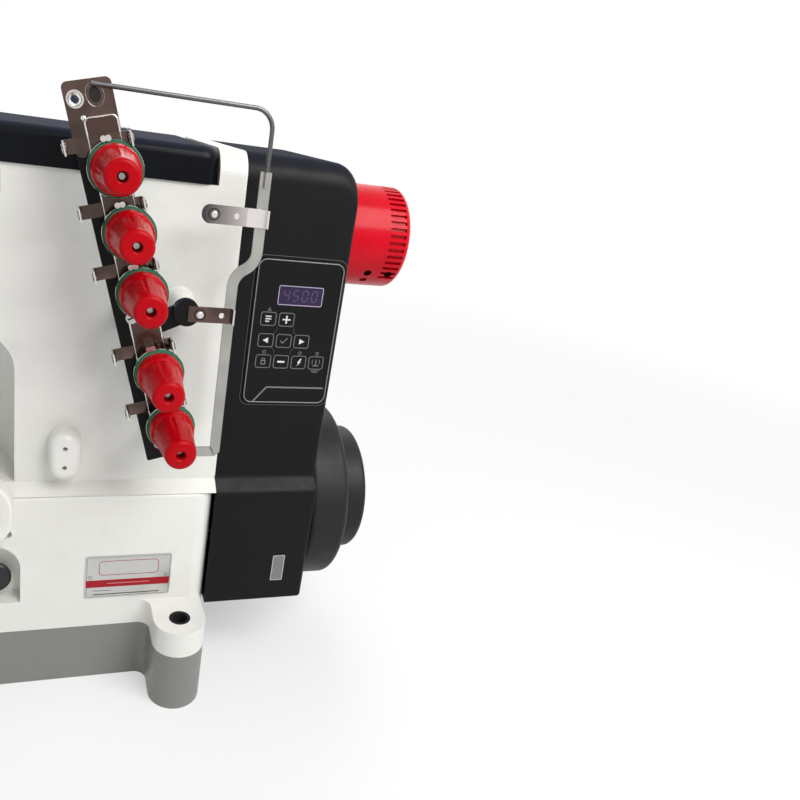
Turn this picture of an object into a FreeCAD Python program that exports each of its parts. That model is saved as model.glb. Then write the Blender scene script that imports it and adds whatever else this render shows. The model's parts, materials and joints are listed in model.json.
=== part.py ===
"""Head of a flat-bed interlock sewing machine, built as its castings, covers, shafts and thread parts.

Frame: +X to the handwheel, +Y to the back, +Z up, millimetres.
The origin is the centre of the four foot holes, on the plane the machine stands on.
"""
import FreeCAD
import Part
import Sketcher
import math
import os
import re

SIZES = {
    "feet and oil pan": {
        "footSpacingWide": 330, "footSpacingDeep": 209, "footRadius": 17, "footTop": 60, "footFlare": 8,
        "footInside": 20, "boltRadius": 5, "bushWall": 2, "panTop": 42, "panWall": 7, "panFloor": 6,
        "panCorner": 8,
    },
    "bed casting": {
        "bedLeft": -262, "bedRight": 186, "bedFront": -82.5, "bedBack": 82.5, "bedTop": 140,
        "bedCorner": 12, "bedWall": 8, "controlWall": 16, "webLeft": -64, "webThick": 14,
        "bayLeft": -244, "bayRight": -78, "bayBottom": 68, "bayTop": 128, "bayCorner": 6,
        "nicheMiddle": 50, "nicheRadius": 16, "nicheBottom": 64.5, "nicheTop": 106, "nicheDepth": 12,
        "plugAcross": 58, "plugHeight": 114.5, "plugRadius": 3, "plugDeep": 6, "bedRound": 3,
    },
    "work plates": {
        "clothThick": 6, "clothInset": 4, "clothRound": 1.5, "plateLeft": -250, "plateRight": -160,
        "plateFront": -45, "plateBack": 30,
        "plateLedge": 8, "plateGap": 0.3, "feedPitch": 11, "feedBar": 2.8, "feedSlotGap": 0.3,
        "feedFront": -26, "feedBack": 12, "feedStroke": 1.5, "feedDeep": 10, "feedThick": 5, "feedRise": 0.5,
        "toothPitch": 3, "toothDepth": 0.9,
    },
    "arm casting": {
        "columnLeft": 62, "faceFront": -73.8, "armBack": 62, "armUnder": 240, "armTop": 332, "armWall": 8,
        "headRight": -165, "headUnder": 206, "headCorner": 14, "throatCorner": 22, "shoulderLeft": 170,
        "headTop": 352, "shoulderRound": 14, "ledgeTop": 146.5, "footLeft": 18, "flareLeft": 20,
        "flareBack": 14, "bossAcross": 90.6, "bossLow": 153, "bossHigh": 184, "bossRadius": 9.5,
        "bossDepth": 14, "bossRound": 5, "bossHoleRadius": 1.4, "bossHoleLow": 162, "bossHolePitch": 12.5,
        "bossHoleDeep": 6, "headWeb": -150, "headWebThick": 12,
    },
    "covers": {
        "coverWall": 2.5, "topRound": 7, "topEndRound": 10, "topProud": 1.5, "sideRight": 257,
        "sideBottom": 54, "sideRound": 15, "sideEdge": 3, "sideWall": 3, "faceThick": 4, "faceMargin": 6,
        "faceCorner": 10, "faceRound": 1.5, "shaftHole": 11,
    },
    "control panel": {
        "panelLeft": 198, "panelRight": 254, "panelLow": 201, "panelHigh": 294, "panelCorner": 5,
        "panelThick": 1, "panelRim": 1.2, "rimRise": 0.3, "windowLeft": 213.4, "windowRight": 241.4,
        "windowLow": 266.5, "windowHigh": 277.7, "windowDeep": 0.6, "keyWide": 10.3, "keyTall": 8.7,
        "keyPitch": 11.8, "keyRowPitch": 13.8, "keyFirstAcross": 208.5, "keyFirstHeight": 256.8,
        "keyRise": 0.3, "keyCorner": 1.6,
    },
    "plates and label": {
        "nameLeft": 105.5, "nameRight": 160.5, "nameLow": 64.6, "nameHigh": 96, "nameThick": 0.8,
        "nameCorner": 1, "rivetRadius": 1.4, "rivetRise": 0.7, "rivetInset": 3, "labelLeft": 231.5,
        "labelRight": 240.4, "labelLow": 69, "labelHigh": 89.5, "labelThick": 0.4, "badgeLeft": -45,
        "badgeRight": 55, "badgeLow": 316, "badgeHigh": 329,
    },
    "shafts and drive": {
        "shaftBack": -10.8, "upperShaftHeight": 304, "lowerShaftHeight": 105, "shaftRadius": 7.5,
        "runningGap": 0.05, "bearingWall": 4.5, "pulleyRadius": 22, "pulleyWide": 20, "flangeThick": 2,
        "flangeRise": 4, "pulleyLeft": 196, "beltThick": 2.2, "beltGap": 0.3, "crankRadius": 18,
        "crankThick": 10, "crankPinRadius": 4, "crankThrow": 12, "crankPinLong": 6, "upperShaftLeft": -184,
        "lowerShaftLeft": -78, "wheelRadius": 34.5, "wheelGap": 1.2, "wheelWide": 53, "wheelRound": 5,
        "wheelSmooth": 37, "gripLong": 11.7, "gripDepth": 1.6, "gripWide": 2.2, "gripPitch": 7.6,
        "gripCount": 19, "gripStart": -182.8, "wheelDish": 12, "wheelRim": 5, "hubRadius": 14,
        "setScrewRadius": 2.6, "setScrewTurn": 52, "setScrewFirst": 6, "setScrewPitch": 22, "setScrewDeep": 12,
        "motorRadius": 66.6, "motorWide": 30, "motorRound": 5, "capRadius": 48, "capWide": 21.6,
        "capRound": 4, "neckRadius": 44, "neckGap": 0.6, "neckLeft": 232, "rotorRadius": 33, "rotorGap": 3,
        "motorWall": 4, "motorBoreGap": 4, "bracketThick": 6, "pillarRadius": 6, "pillarCircle": 36,
        "bracketRadius": 44,
    },
    "tension assembly": {
        "boardX": 83.2, "boardZ": 371.4, "boardTilt": 15.2, "boardWide": 24, "boardLong": 206,
        "boardFront": -100, "boardThick": 1.5, "boardCorner": 3, "postAcross": 17, "upperPost": 40,
        "lowerPost": 150, "postPitch": 32, "lowerPitch": 34, "postRadius": 2, "postShort": 2,
        "collarRadius": 6, "collarThick": 2, "discRadius": 10.5, "discThick": 0.8, "discDish": 1.1,
        "discFlat": 6.5, "discGap": 0.02, "cupRadius": 13, "cupDish": 3.2, "washerRadius": 13.2,
        "washerBore": 9.5, "washerThick": 1.4, "washerGap": 0.3, "springRadius": 5, "springWire": 0.45,
        "springTurns": 4, "springClear": 0.3, "knobStart": 9.8, "knobLong": 37, "knobRadius": 13,
        "knobEdge": 1, "knobSkirt": 8.2, "knobSkirtTop": 12.5, "knobWaist": 12.1, "knobTip": 8.6,
        "knobRound": 2.4, "knobCup": 8, "knobCupRadius": 8.8, "knobHole": 2.6, "knobHoleDeep": 6,
        "knobBoreGap": 0.05, "fluteCount": 9, "fluteRadius": 3.4, "fluteDepth": 1.2,
        "standoffRadius": 5, "standoffUpper": 118, "standoffLower": 196, "standoffAcross": 9,
        "screwShank": 2, "screwHead": 3.2, "screwRise": 1.6, "earDown": 9.5, "earLeft": 22.5,
        "earRight": 11, "earTall": 7, "earThick": 0.9, "earDeep": 9, "earHole": 1.3, "earHoleInset": 3,
        "stubAcross": -3, "stubPitch": 2.4, "stubHeight": 5.4, "stubRadius": 1.5, "stubLong": 9,
        "topGuideLong": 33, "topGuideThick": 1, "topGuideProud": 2, "ringRadius": 4.2, "ringWire": 0.9,
        "ringInset": 1, "ringDown": 2,
    },
    "guide rail": {
        "railRadius": 1.25, "railHeight": 375, "railLeft": 97, "railRight": 189, "railBend": 10, "railLap": 8,
        "stripTop": 344, "stripWide": 6, "stripThick": 1.5, "jogTop": 299, "jogBottom": 283,
        "stripInner": 174, "stripBottom": 176, "stripEnd": 148, "upperGuideHeight": 319.7,
        "upperGuideLeft": 156, "upperGuideTall": 10, "lowerGuideHeight": 264.3, "lowerGuideLeft": 153.4,
        "lowerGuideRight": 179, "lowerGuideTall": 9, "guideThick": 1, "guideScrewInset": 6.5,
        "guideHoleInset": 19, "guideHole": 1.6, "guideScrew": 2, "guideScrewRise": 1, "bossX": 152.9,
        "guideBossRadius": 7.5,
        "bracketDeep": 3, "tabLong": 5, "webDown": 127, "webTall": 12,
    },
    "needle and presser": {
        "needleAcross": -205, "needleBarRadius": 3.6, "needleBarTop": 326, "clampLow": 184, "clampTall": 12,
        "clampWide": 14, "clampDeep": 10, "clampRound": 2, "needleTip": 4,
        "needleTaper": 2, "needleRadius": 0.8, "needlePoint": 156, "needlePitch": 2.8,
        "needleSlotWide": 9, "needleSlotDeep": 4, "presserBack": 29, "presserRadius": 4, "presserTop": 322,
        "footSole": 3, "footLift": 0.3, "footWide": 24, "footToe": 22, "footShank": 12, "presserLow": 158,
        "bushRadius": 7, "bushProud": 3, "spreaderAcross": -232, "spreaderBack": -26, "spreaderRadius": 2.5,
        "spreaderLow": 158, "spreaderReach": 13, "spreaderThick": 1.2, "lifterX": -225, "lifterZ": 232,
        "lifterLong": 52, "lifterWide": 12, "lifterThick": 4, "lifterPin": 4,
    },
    "bay, looper and controls": {
        "looperShaftBack": 30, "looperShaftHeight": 84, "looperShaftRadius": 5, "looperLeft": -215,
        "looperHub": 10, "looperWide": 12, "looperArm": 5, "looperTip": 130, "looperTipBack": 2,
        "doorThick": 3.5, "doorRound": 1.5, "doorMargin": 4, "doorGap": 0.3, "hingeRadius": 2.6,
        "hingePin": 1.5,
        "hingeEar": 8, "hingeGap": 0.3, "hingeHeight": 64, "takeupAcross": 42, "takeupHeight": 126,
        "takeupShaft": 4, "takeupRadius": 9.5, "takeupOffset": 1.5, "takeupThick": 2, "takeupStand": 5,
        "guardLeft": 20, "guardRight": 62, "guardLow": 112, "guardHigh": 157, "guardCorner": 19.5,
        "guardDepth": 13, "guardRound": 2,
        "guardWall": 2.5, "wireRadius": 0.9, "wireLeft": 30, "wireRight": 54, "wireLow": 127,
        "wireHigh": 166, "wireProud": 3, "buttonRadius": 10.5, "buttonThick": 3,
        "buttonSunk": 4.5, "buttonStem": 4, "buttonHeight": 80, "buttonEdge": 1, "stemProud": 3,
    },
}

doc = FreeCAD.newDocument("InterlockMachineHead")
sheet = doc.addObject("Spreadsheet::Sheet", "Sizes")
names = set()
row = 1
for heading, table in SIZES.items():
    sheet.set("A%d" % row, heading)
    row += 1
    for alias, number in table.items():
        sheet.set("A%d" % row, alias)
        sheet.set("B%d" % row, str(number))
        sheet.setAlias("B%d" % row, alias)
        names.add(alias)
        row += 1
doc.recompute()

UPRIGHT = FreeCAD.Rotation()
FORWARD = FreeCAD.Rotation(FreeCAD.Vector(1, 0, 0), 90)      # local Z towards the front
BACKWARD = FreeCAD.Rotation(FreeCAD.Vector(1, 0, 0), -90)    # local Z towards the back
RIGHTWARD = FreeCAD.Rotation(FreeCAD.Vector(0, 1, 0), 90)    # local Z towards the handwheel
nodes = {}


def formula(text):
    """Puts the sheet's name before each size that an expression names."""
    return re.sub(r"[A-Za-z]+", lambda m: "Sizes." + m.group() if m.group() in names else m.group(), text)


def value(text):
    return FreeCAD.Units.Quantity(sheet.evalExpression(formula(text))).Value


def place(piece, x="0", y="0", z="0", rotation=UPRIGHT):
    piece.Placement = FreeCAD.Placement(FreeCAD.Vector(), rotation)
    for axis, text in zip("xyz", (x, y, z)):
        piece.setExpression("Placement.Base." + axis, formula(text))
    return piece


def keep(node, piece):
    """Names a finished sub-part and lists it for export."""
    piece.Label = node
    nodes[node] = piece
    return piece


# outlines: a corner is (x, y), or (x, y, radius) when an arc with its centre on the left leads to it,
# or (x, y, radius, "right") when the arc's centre lies on the right

def box_outline(left, low, right, high):
    return [(left, low), (right, low), (right, high), (left, high)]


def round_outline(left, low, right, high, radius):
    inner_left, inner_right = f"{left} + {radius}", f"{right} - ({radius})"
    inner_low, inner_high = f"{low} + {radius}", f"{high} - ({radius})"
    return [(inner_right, low), (right, inner_low, radius), (right, inner_high), (inner_right, high, radius),
            (inner_left, high), (left, inner_high, radius), (left, inner_low), (inner_left, low, radius)]


def slot_outline(middle, low, high, radius):
    left, right = f"{middle} - ({radius})", f"{middle} + {radius}"
    inner_low, inner_high = f"{low} + {radius}", f"{high} - ({radius})"
    return [(middle, low), (right, inner_low, radius), (right, inner_high), (middle, high, radius),
            (left, inner_high, radius), (left, inner_low), ("close", radius)]


def arc_through(start, end, radius, side):
    chord = end - start
    height = math.sqrt(max(radius ** 2 - (chord.Length / 2) ** 2, 0))
    normal = FreeCAD.Vector(-chord.y, chord.x, 0).normalize() * (1 if side == "left" else -1)
    centre = (start + end) / 2 + normal * height
    outward = (start + end) / 2 - centre
    outward = -normal if outward.Length < 1e-9 else outward.normalize()
    return Part.Arc(start, centre + outward * radius, end)


def draw(sketch, corners):
    """Draws a closed outline, with each corner and each radius bound to the sheet."""
    closing = None
    if corners[-1][0] == "close":
        closing = corners[-1][1]
        corners = corners[:-1]
    points = [FreeCAD.Vector(value(corner[0]), value(corner[1]), 0) for corner in corners]
    edges, radii, starts = [], [], []
    for index, corner in enumerate(corners):
        following = corners[(index + 1) % len(corners)]
        radius = following[2] if len(following) > 2 else None
        side = "right" if len(following) > 3 else "left"
        if closing and index == len(corners) - 1:
            radius, side = closing, "left"
        start, end = points[index], points[(index + 1) % len(points)]
        if radius is None:
            edges.append(Part.LineSegment(start, end))
        else:
            edges.append(arc_through(start, end, value(radius), side))
        radii.append(radius)
        starts.append(1 if radius is None or side == "left" else 2)
    first = sketch.GeometryCount
    sketch.addGeometry(edges, False)
    links = []
    for index in range(len(edges)):
        after = (index + 1) % len(edges)
        links.append(Sketcher.Constraint("Coincident", first + index, 3 - starts[index], first + after,
                                         starts[after]))
    sketch.addConstraint(links)
    for index, corner in enumerate(corners):
        for kind, text, number in (("DistanceX", corner[0], points[index].x),
                                   ("DistanceY", corner[1], points[index].y)):
            made = sketch.addConstraint(
                Sketcher.Constraint(kind, -1, 1, first + index, starts[index], number))
            sketch.setExpression(f"Constraints[{made}]", formula(text))
    for index, radius in enumerate(radii):
        if radius is not None:
            made = sketch.addConstraint(Sketcher.Constraint("Radius", first + index, value(radius)))
            sketch.setExpression(f"Constraints[{made}]", formula(radius))


def circle(sketch, x, y, radius):
    edge = sketch.addGeometry(Part.Circle(FreeCAD.Vector(value(x), value(y), 0), FreeCAD.Vector(0, 0, 1),
                                          value(radius)), False)
    for kind, text in (("DistanceX", x), ("DistanceY", y)):
        made = sketch.addConstraint(Sketcher.Constraint(kind, -1, 1, edge, 3, value(text)))
        sketch.setExpression(f"Constraints[{made}]", formula(text))
    made = sketch.addConstraint(Sketcher.Constraint("Radius", edge, value(radius)))
    sketch.setExpression(f"Constraints[{made}]", formula(radius))


class Body:
    """A PartDesign body whose features are sketched on its own origin planes.

    Pads and cuts start at a coordinate and run a length: up on XY, to the front on XZ, to the right on YZ.
    """

    def __init__(self, node):
        self.body = doc.addObject("PartDesign::Body", node + "_body")
        self.node = node
        self.count = 0

    def name(self, kind):
        self.count += 1
        return f"{self.node}_{kind}_{self.count}"

    def sketch(self, plane, start="0"):
        sketch = self.body.newObject("Sketcher::SketchObject", self.name("sketch"))
        support = [item for item in self.body.Origin.OriginFeatures if item.Role == plane + "_Plane"][0]
        sketch.AttachmentSupport = (support, [""])
        sketch.MapMode = "FlatFace"
        sign = "-1" if plane == "XZ" else "1"
        sketch.setExpression("AttachmentOffset.Base.z", formula(f"{sign} * ({start})"))
        return sketch

    def pad(self, plane, corners, start, length):
        sketch = self.sketch(plane, start)
        draw(sketch, corners)
        pad = self.body.newObject("PartDesign::Pad", self.name("pad"))
        pad.Profile = sketch
        pad.setExpression("Length", formula(length))
        return pad

    def cut(self, plane, corners, start, length, second=None):
        sketch = self.sketch(plane, start)
        for outline in [corners] + ([second] if second else []):
            draw(sketch, outline)
        return self.pocket(sketch, length)

    def drill(self, plane, spots, radius, start, length):
        sketch = self.sketch(plane, start)
        for x, y in spots:
            circle(sketch, x, y, radius)
        return self.pocket(sketch, length)

    def post(self, plane, spots, radius, start, length):
        sketch = self.sketch(plane, start)
        for x, y in spots:
            circle(sketch, x, y, radius)
        pad = self.body.newObject("PartDesign::Pad", self.name("pad"))
        pad.Profile = sketch
        pad.setExpression("Length", formula(length))
        return pad

    def pocket(self, sketch, length):
        pocket = self.body.newObject("PartDesign::Pocket", self.name("pocket"))
        pocket.Profile = sketch
        pocket.Reversed = True
        pocket.setExpression("Length", formula(length))
        return pocket

    def turn(self, corners):
        """Revolves a (radius, height) outline about the body's Z axis."""
        sketch = self.sketch("XZ")
        draw(sketch, corners)
        turned = self.body.newObject("PartDesign::Revolution", self.name("turn"))
        turned.Profile = sketch
        turned.ReferenceAxis = (sketch, ["V_Axis"])
        turned.Angle = 360
        return turned

    def around(self, feature, count, step):
        """Repeats a feature about the body's Z axis, a step in degrees apart."""
        pattern = self.body.newObject("PartDesign::PolarPattern", self.name("pattern"))
        pattern.Originals = [feature]
        axis = [item for item in self.body.Origin.OriginFeatures if item.Role == "Z_Axis"][0]
        pattern.Axis = (axis, [""])
        pattern.Mode = 1
        pattern.setExpression("Offset", formula(step))
        pattern.setExpression("Occurrences", formula(count))
        self.body.Tip = pattern
        return pattern

    def edges(self, *spots):
        """Names the edge nearest to each spot, given as three expressions."""
        doc.recompute()
        found = []
        for spot in spots:
            point = Part.Vertex(*[value(text) for text in spot])
            gaps = [point.distToShape(edge)[0] for edge in self.body.Shape.Edges]
            found.append("Edge%d" % (gaps.index(min(gaps)) + 1))
        return sorted(set(found))

    def fillet(self, radius, *spots):
        found = self.edges(*spots)
        rounded = self.body.newObject("PartDesign::Fillet", self.name("fillet"))
        rounded.Base = (self.body.Group[-2], found)
        rounded.setExpression("Radius", formula(radius))
        return rounded

    def keep(self, x="0", y="0", z="0", rotation=UPRIGHT):
        place(self.body, x, y, z, rotation)
        return keep(self.node, self.body)


def block(name, x, y, z, wide, deep, tall):
    box = doc.addObject("Part::Box", name)
    for side, text in (("Length", wide), ("Width", deep), ("Height", tall)):
        box.setExpression(side, formula(text))
    return place(box, x, y, z)


def rod(name, radius, length, x, y, z, rotation=UPRIGHT):
    cylinder = doc.addObject("Part::Cylinder", name)
    cylinder.setExpression("Radius", formula(radius))
    cylinder.setExpression("Height", formula(length))
    return place(cylinder, x, y, z, rotation)


def cut(name, base, tool):
    result = doc.addObject("Part::Cut", name)
    result.Base = base
    result.Tool = tool
    return result


def fuse(name, pieces):
    result = doc.addObject("Part::MultiFuse", name)
    result.Shapes = pieces
    return result


def group(name, pieces):
    result = doc.addObject("Part::Compound", name)
    result.Links = pieces
    return result


def tube(name, outer, inner, length, x, y, z, rotation=UPRIGHT):
    return cut(name, rod(name + "_outside", outer, length, x, y, z, rotation),
               rod(name + "_bore", inner, length, x, y, z, rotation))


def vector(x, y, z):
    return FreeCAD.Vector(value(x), value(y), value(z))


def bent_rod(radius, points, bend):
    """A round rod along straight runs joined by tangent arcs of one radius."""
    edges, last = [], points[0]
    for index in range(1, len(points) - 1):
        corner = points[index]
        back = (points[index - 1] - corner).normalize()
        ahead = (points[index + 1] - corner).normalize()
        half = back.getAngle(ahead) / 2
        reach = bend / math.tan(half)
        start, end = corner + back * reach, corner + ahead * reach
        middle = corner + (back + ahead).normalize() * (bend / math.sin(half) - bend)
        edges += [Part.LineSegment(last, start).toShape(), Part.Arc(start, middle, end).toShape()]
        last = end
    edges.append(Part.LineSegment(last, points[-1]).toShape())
    section = Part.Wire([Part.makeCircle(radius, points[0], (points[1] - points[0]).normalize())])
    return Part.Wire(edges).makePipeShell([section], True, False)


def arc_along(start, heading, end):
    """The arc that leaves a point along a heading and ends at another point."""
    chord = end - start
    inward = chord - heading * chord.dot(heading)
    radius = chord.dot(chord) / (2 * inward.Length)
    centre = start + inward.normalize() * radius
    middle = centre + ((start - centre) + (end - centre)).normalize() * radius
    return Part.Arc(start, middle, end).toShape()


def spring(radius, wire, rise, turns):
    """A wound wire: each quarter turn is two arcs that meet on one tangent."""
    climb = rise / (2 * math.pi * turns)

    def spot(angle):
        return FreeCAD.Vector(radius * math.cos(angle), radius * math.sin(angle), climb * angle)

    def heading(angle):
        return FreeCAD.Vector(-radius * math.sin(angle), radius * math.cos(angle), climb).normalize()

    arcs = []
    for quarter in range(round(4 * turns)):
        begin, finish = quarter * math.pi / 2, (quarter + 1) * math.pi / 2
        start, end, leave, arrive = spot(begin), spot(finish), heading(begin), heading(finish)
        chord, bend = end - start, 1 - leave.dot(arrive)
        along = chord.dot(leave + arrive)
        reach = (math.sqrt(along ** 2 + 2 * bend * chord.dot(chord)) - along) / (2 * bend)
        first, second = start + leave * reach, end - arrive * reach
        arcs += [arc_along(start, leave, (first + second) / 2),
                 arc_along((first + second) / 2, (second - first).normalize(), end)]
    steps = [spot(index * math.pi / 12) for index in range(round(24 * turns) + 1)]
    least = min((steps[index] - other).Length for index in range(len(steps)) for other in steps[index + 12:])
    print("least gap between the spring's turns", round(least - 2 * wire, 2))
    section = Part.Wire([Part.makeCircle(wire, spot(0), heading(0))])
    return Part.Wire(arcs).makePipeShell([section], True, False)


# feet and oil pan
FEET = [(side, depth) for side in (-1, 1) for depth in (-1, 1)]
FOOT_SPOTS = [(f"{side} * footSpacingWide / 2", f"{depth} * footSpacingDeep / 2") for side, depth in FEET]


def foot_outline(side, depth):
    """A round-ended ear that stands out of the casting, with a fillet on its inner side."""
    middle, reach = f"{side} * footSpacingWide / 2", f"{depth} * footSpacingDeep / 2"
    face = "bedFront" if depth < 0 else "bedBack"
    inner, outer = f"{middle} - {side} * footRadius", f"{middle} + {side} * footRadius"
    inside = f"{face} - {depth} * footInside"
    turn = ("right",) if side * depth > 0 else ()
    fillet = () if side * depth > 0 else ("right",)
    flare = f"{inner} - {side} * footFlare"
    return [(outer, inside), (flare, inside), (flare, face),
            (inner, f"{face} + {depth} * footFlare", "footFlare") + fillet, (inner, reach),
            (middle, f"{reach} + {depth} * footRadius", "footRadius") + turn,
            (outer, reach, "footRadius") + turn]


BED_OUTLINE = round_outline("bedLeft", "bedFront", "bedRight", "bedBack", "bedCorner")

pan = Body("base_oil_pan")
pan.pad("XY", BED_OUTLINE, "0", "panTop")
for side, depth in FEET:
    pan.pad("XY", foot_outline(side, depth), "0", "panTop")
pan.cut("XY", round_outline("bedLeft + panWall", "bedFront + panWall", "bedRight - panWall",
                            "bedBack - panWall", "panCorner"), "panFloor", "panTop")
pan.drill("XY", FOOT_SPOTS, "boltRadius", "0", "panTop")
pan.keep()

keep("foot_bushes", group("foot_bush_set", [
    tube(f"foot_bush_{number}", "boltRadius + bushWall", "boltRadius", "footTop - panTop", x, y, "panTop")
    for number, (x, y) in enumerate(FOOT_SPOTS)]))

# bed casting
ARCH = [("nicheMiddle - nicheRadius", "nicheBottom"), ("nicheMiddle + nicheRadius", "nicheBottom"),
        ("nicheMiddle + nicheRadius", "nicheTop - nicheRadius"), ("nicheMiddle", "nicheTop", "nicheRadius"),
        ("nicheMiddle - nicheRadius", "nicheTop - nicheRadius", "nicheRadius")]
PLATE_HOLE = box_outline("plateLeft + plateLedge", "plateFront + plateLedge", "plateRight - plateLedge",
                         "plateBack - plateLedge")

bed = Body("bed_casting")
bed.pad("XY", BED_OUTLINE, "panTop", "bedTop - panTop")
for side, depth in FEET:
    bed.pad("XY", foot_outline(side, depth), "panTop", "footTop - panTop")
bed.cut("XY", box_outline("bedLeft + bedWall", "bedFront + bedWall", "webLeft", "bedBack - bedWall"),
        "panTop", "bedTop - bedWall - panTop")
bed.cut("XY", box_outline("webLeft + webThick", "bedFront + controlWall", "bedRight - bedWall",
                          "bedBack - bedWall"), "panTop", "bedTop - bedWall - panTop")
bed.cut("XZ", round_outline("bayLeft", "bayBottom", "bayRight", "bayTop", "bayCorner"),
        "bedFront + bedWall + 1", "bedWall + 2")
bed.cut("XY", PLATE_HOLE, "bedTop - bedWall - 1", "bedWall + 2")
bed.cut("XZ", ARCH, "bedFront + nicheDepth", "nicheDepth + 1")
bed.drill("XY", FOOT_SPOTS, "boltRadius + bushWall", "panTop - 1", "footTop")
bed.drill("YZ", [("shaftBack", "lowerShaftHeight")], "shaftRadius + bearingWall", "webLeft - 1",
          "bedRight - webLeft + 2")
bed.drill("YZ", [("looperShaftBack", "looperShaftHeight")], "looperShaftRadius + runningGap",
          "bedLeft + 3", "webLeft + webThick - 3 - bedLeft - 3")
bed.drill("XZ", [("takeupAcross", "takeupHeight")], "takeupShaft + runningGap",
          "bedFront + controlWall + 1", "controlWall + 2")
bed.drill("XZ", [("nicheMiddle", "buttonHeight")], "buttonStem + runningGap",
          "bedFront + controlWall + 1", "controlWall + 2")
bed.drill("XZ", [("plugAcross", "plugHeight")], "plugRadius", "bedFront + plugDeep", "plugDeep + 1")
bed.fillet("bedRound", ("0", "bedFront", "bedTop"), ("0", "bedBack", "bedTop"))
bed.keep()

# work plates
cloth = Body("cloth_plate")
cloth.pad("XY", box_outline("bedLeft + plateGap", "bedFront + clothInset", "footLeft - plateGap",
                            "bedBack - clothInset"), "bedTop", "clothThick")
cloth.cut("XY", box_outline("plateLeft - plateGap", "plateFront - plateGap", "plateRight + plateGap",
                            "plateBack + plateGap"), "bedTop - 1", "clothThick + 2")
cloth.fillet("clothRound", ("(plateRight + footLeft) / 2", "bedFront + clothInset", "bedTop + clothThick"))
cloth.keep()

FEED_BARS = [("-1", "feedFront", "feedBack"), ("0", "shaftBack + needleSlotDeep + 2", "feedBack"),
             ("1", "feedFront", "feedBack")]
needle_plate = Body("needle_plate")
needle_plate.pad("XY", box_outline("plateLeft", "plateFront", "plateRight", "plateBack"), "bedTop",
                 "clothThick")
needle_plate.cut("XY", box_outline("needleAcross - needleSlotWide / 2", "shaftBack - needleSlotDeep / 2",
                                   "needleAcross + needleSlotWide / 2", "shaftBack + needleSlotDeep / 2"),
                 "bedTop - 1", "clothThick + 2")
for column, front, back in FEED_BARS:
    middle = f"needleAcross + {column} * feedPitch"
    needle_plate.cut("XY", box_outline(f"{middle} - feedBar / 2 - feedSlotGap",
                                       f"{front} - feedStroke - feedSlotGap",
                                       f"{middle} + feedBar / 2 + feedSlotGap",
                                       f"{back} + feedStroke + feedSlotGap"), "bedTop - 1", "clothThick + 2")
needle_plate.keep()

feed = Body("feed_dog")
feed.pad("XY", box_outline("needleAcross - feedPitch - feedBar / 2", "feedFront",
                           "needleAcross + feedPitch + feedBar / 2", "feedBack"),
         "bedTop - feedSlotGap - feedThick", "feedThick")
feed.cut("XY", box_outline("needleAcross - needleSlotWide / 2", "shaftBack - needleSlotDeep",
                           "needleAcross + needleSlotWide / 2", "shaftBack + needleSlotDeep"),
         "bedTop - feedDeep", "feedDeep + 2")
for column, front, back in FEED_BARS:
    low, crest = "bedTop - feedSlotGap - feedThick", "bedTop + clothThick + feedRise"
    toothed = [(front, low), (back, low)]
    for tooth in range(math.ceil(value(f"({back} - ({front})) / toothPitch")) - 1):
        toothed += [(f"{back} - {tooth} * toothPitch", crest),
                    (f"{back} - {tooth + 1} * toothPitch", f"{crest} - toothDepth")]
    toothed.append((front, f"{crest} - toothDepth"))
    feed.pad("YZ", toothed, f"needleAcross + {column} * feedPitch - feedBar / 2", "feedBar")
feed.keep()

# arm casting: front view first, then the plan view of the column's receding side
arm = Body("arm_casting")
arm.pad("XZ", [("bedLeft", "armTop"), ("bedLeft", "headUnder + headCorner"),
               ("bedLeft + headCorner", "headUnder", "headCorner"), ("headRight - headCorner", "headUnder"),
               ("headRight", "headUnder + headCorner", "headCorner"), ("headRight", "armUnder - headCorner"),
               ("headRight + headCorner", "armUnder", "headCorner", "right"),
               ("columnLeft - throatCorner", "armUnder"),
               ("columnLeft", "armUnder - throatCorner", "throatCorner", "right"), ("columnLeft", "bedTop"),
               ("bedRight", "bedTop"), ("bedRight", "armTop")], "armBack", "armBack - faceFront")
arm.pad("XY", [("columnLeft + 5", "faceFront"), ("columnLeft + 5", "armBack"), ("flareLeft", "armBack"),
               ("flareLeft", "flareBack"),
               ("columnLeft", "faceFront", "flareBack - faceFront + 20", "right")],
        "bedTop", "armUnder + 5 - bedTop")
arm.pad("YZ", [("armBack", "bedTop"), ("armBack", "ledgeTop"), ("faceFront", "ledgeTop"),
               ("bedFront", "bedTop")], "footLeft", "bedRight - footLeft")
arm.pad("YZ", [("armBack", "armTop - 2"), ("armBack", "headTop - shoulderRound"),
               ("armBack - shoulderRound", "headTop", "shoulderRound"),
               ("faceFront + shoulderRound", "headTop"),
               ("faceFront", "headTop - shoulderRound", "shoulderRound"), ("faceFront", "armTop - 2")],
        "shoulderLeft", "bedRight - shoulderLeft")
arm.cut("XY", box_outline("bedLeft + armWall", "faceFront + armWall", "headWeb", "armBack - armWall"),
        "headUnder + armWall", "armTop - headUnder")
arm.cut("XY", box_outline("headWeb + headWebThick", "faceFront + armWall", "shoulderLeft - armWall",
                          "armBack - armWall"), "armUnder + armWall", "armTop - armUnder")
arm.cut("XY", box_outline("columnLeft + armWall", "faceFront + armWall", "bedRight - armWall",
                          "armBack - armWall"), "bedTop - 1", "armTop - armWall - bedTop")
arm.drill("YZ", [("shaftBack", "upperShaftHeight")], "shaftRadius + bearingWall", "headWeb - 1",
          "bedRight - headWeb + 2")
arm.drill("XY", [("needleAcross", "shaftBack")], "bushRadius", "headUnder - 1", "armWall + 2")
arm.drill("XY", [("needleAcross", "presserBack")], "bushRadius", "headUnder - 1", "armWall + 2")
arm.drill("XY", [("spreaderAcross", "spreaderBack")], "spreaderRadius + runningGap", "headUnder - 1",
          "armWall + 2")
arm.drill("XZ", [("lifterX", "lifterZ")], "lifterPin + runningGap", "armBack + 1", "armWall + 2")
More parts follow.
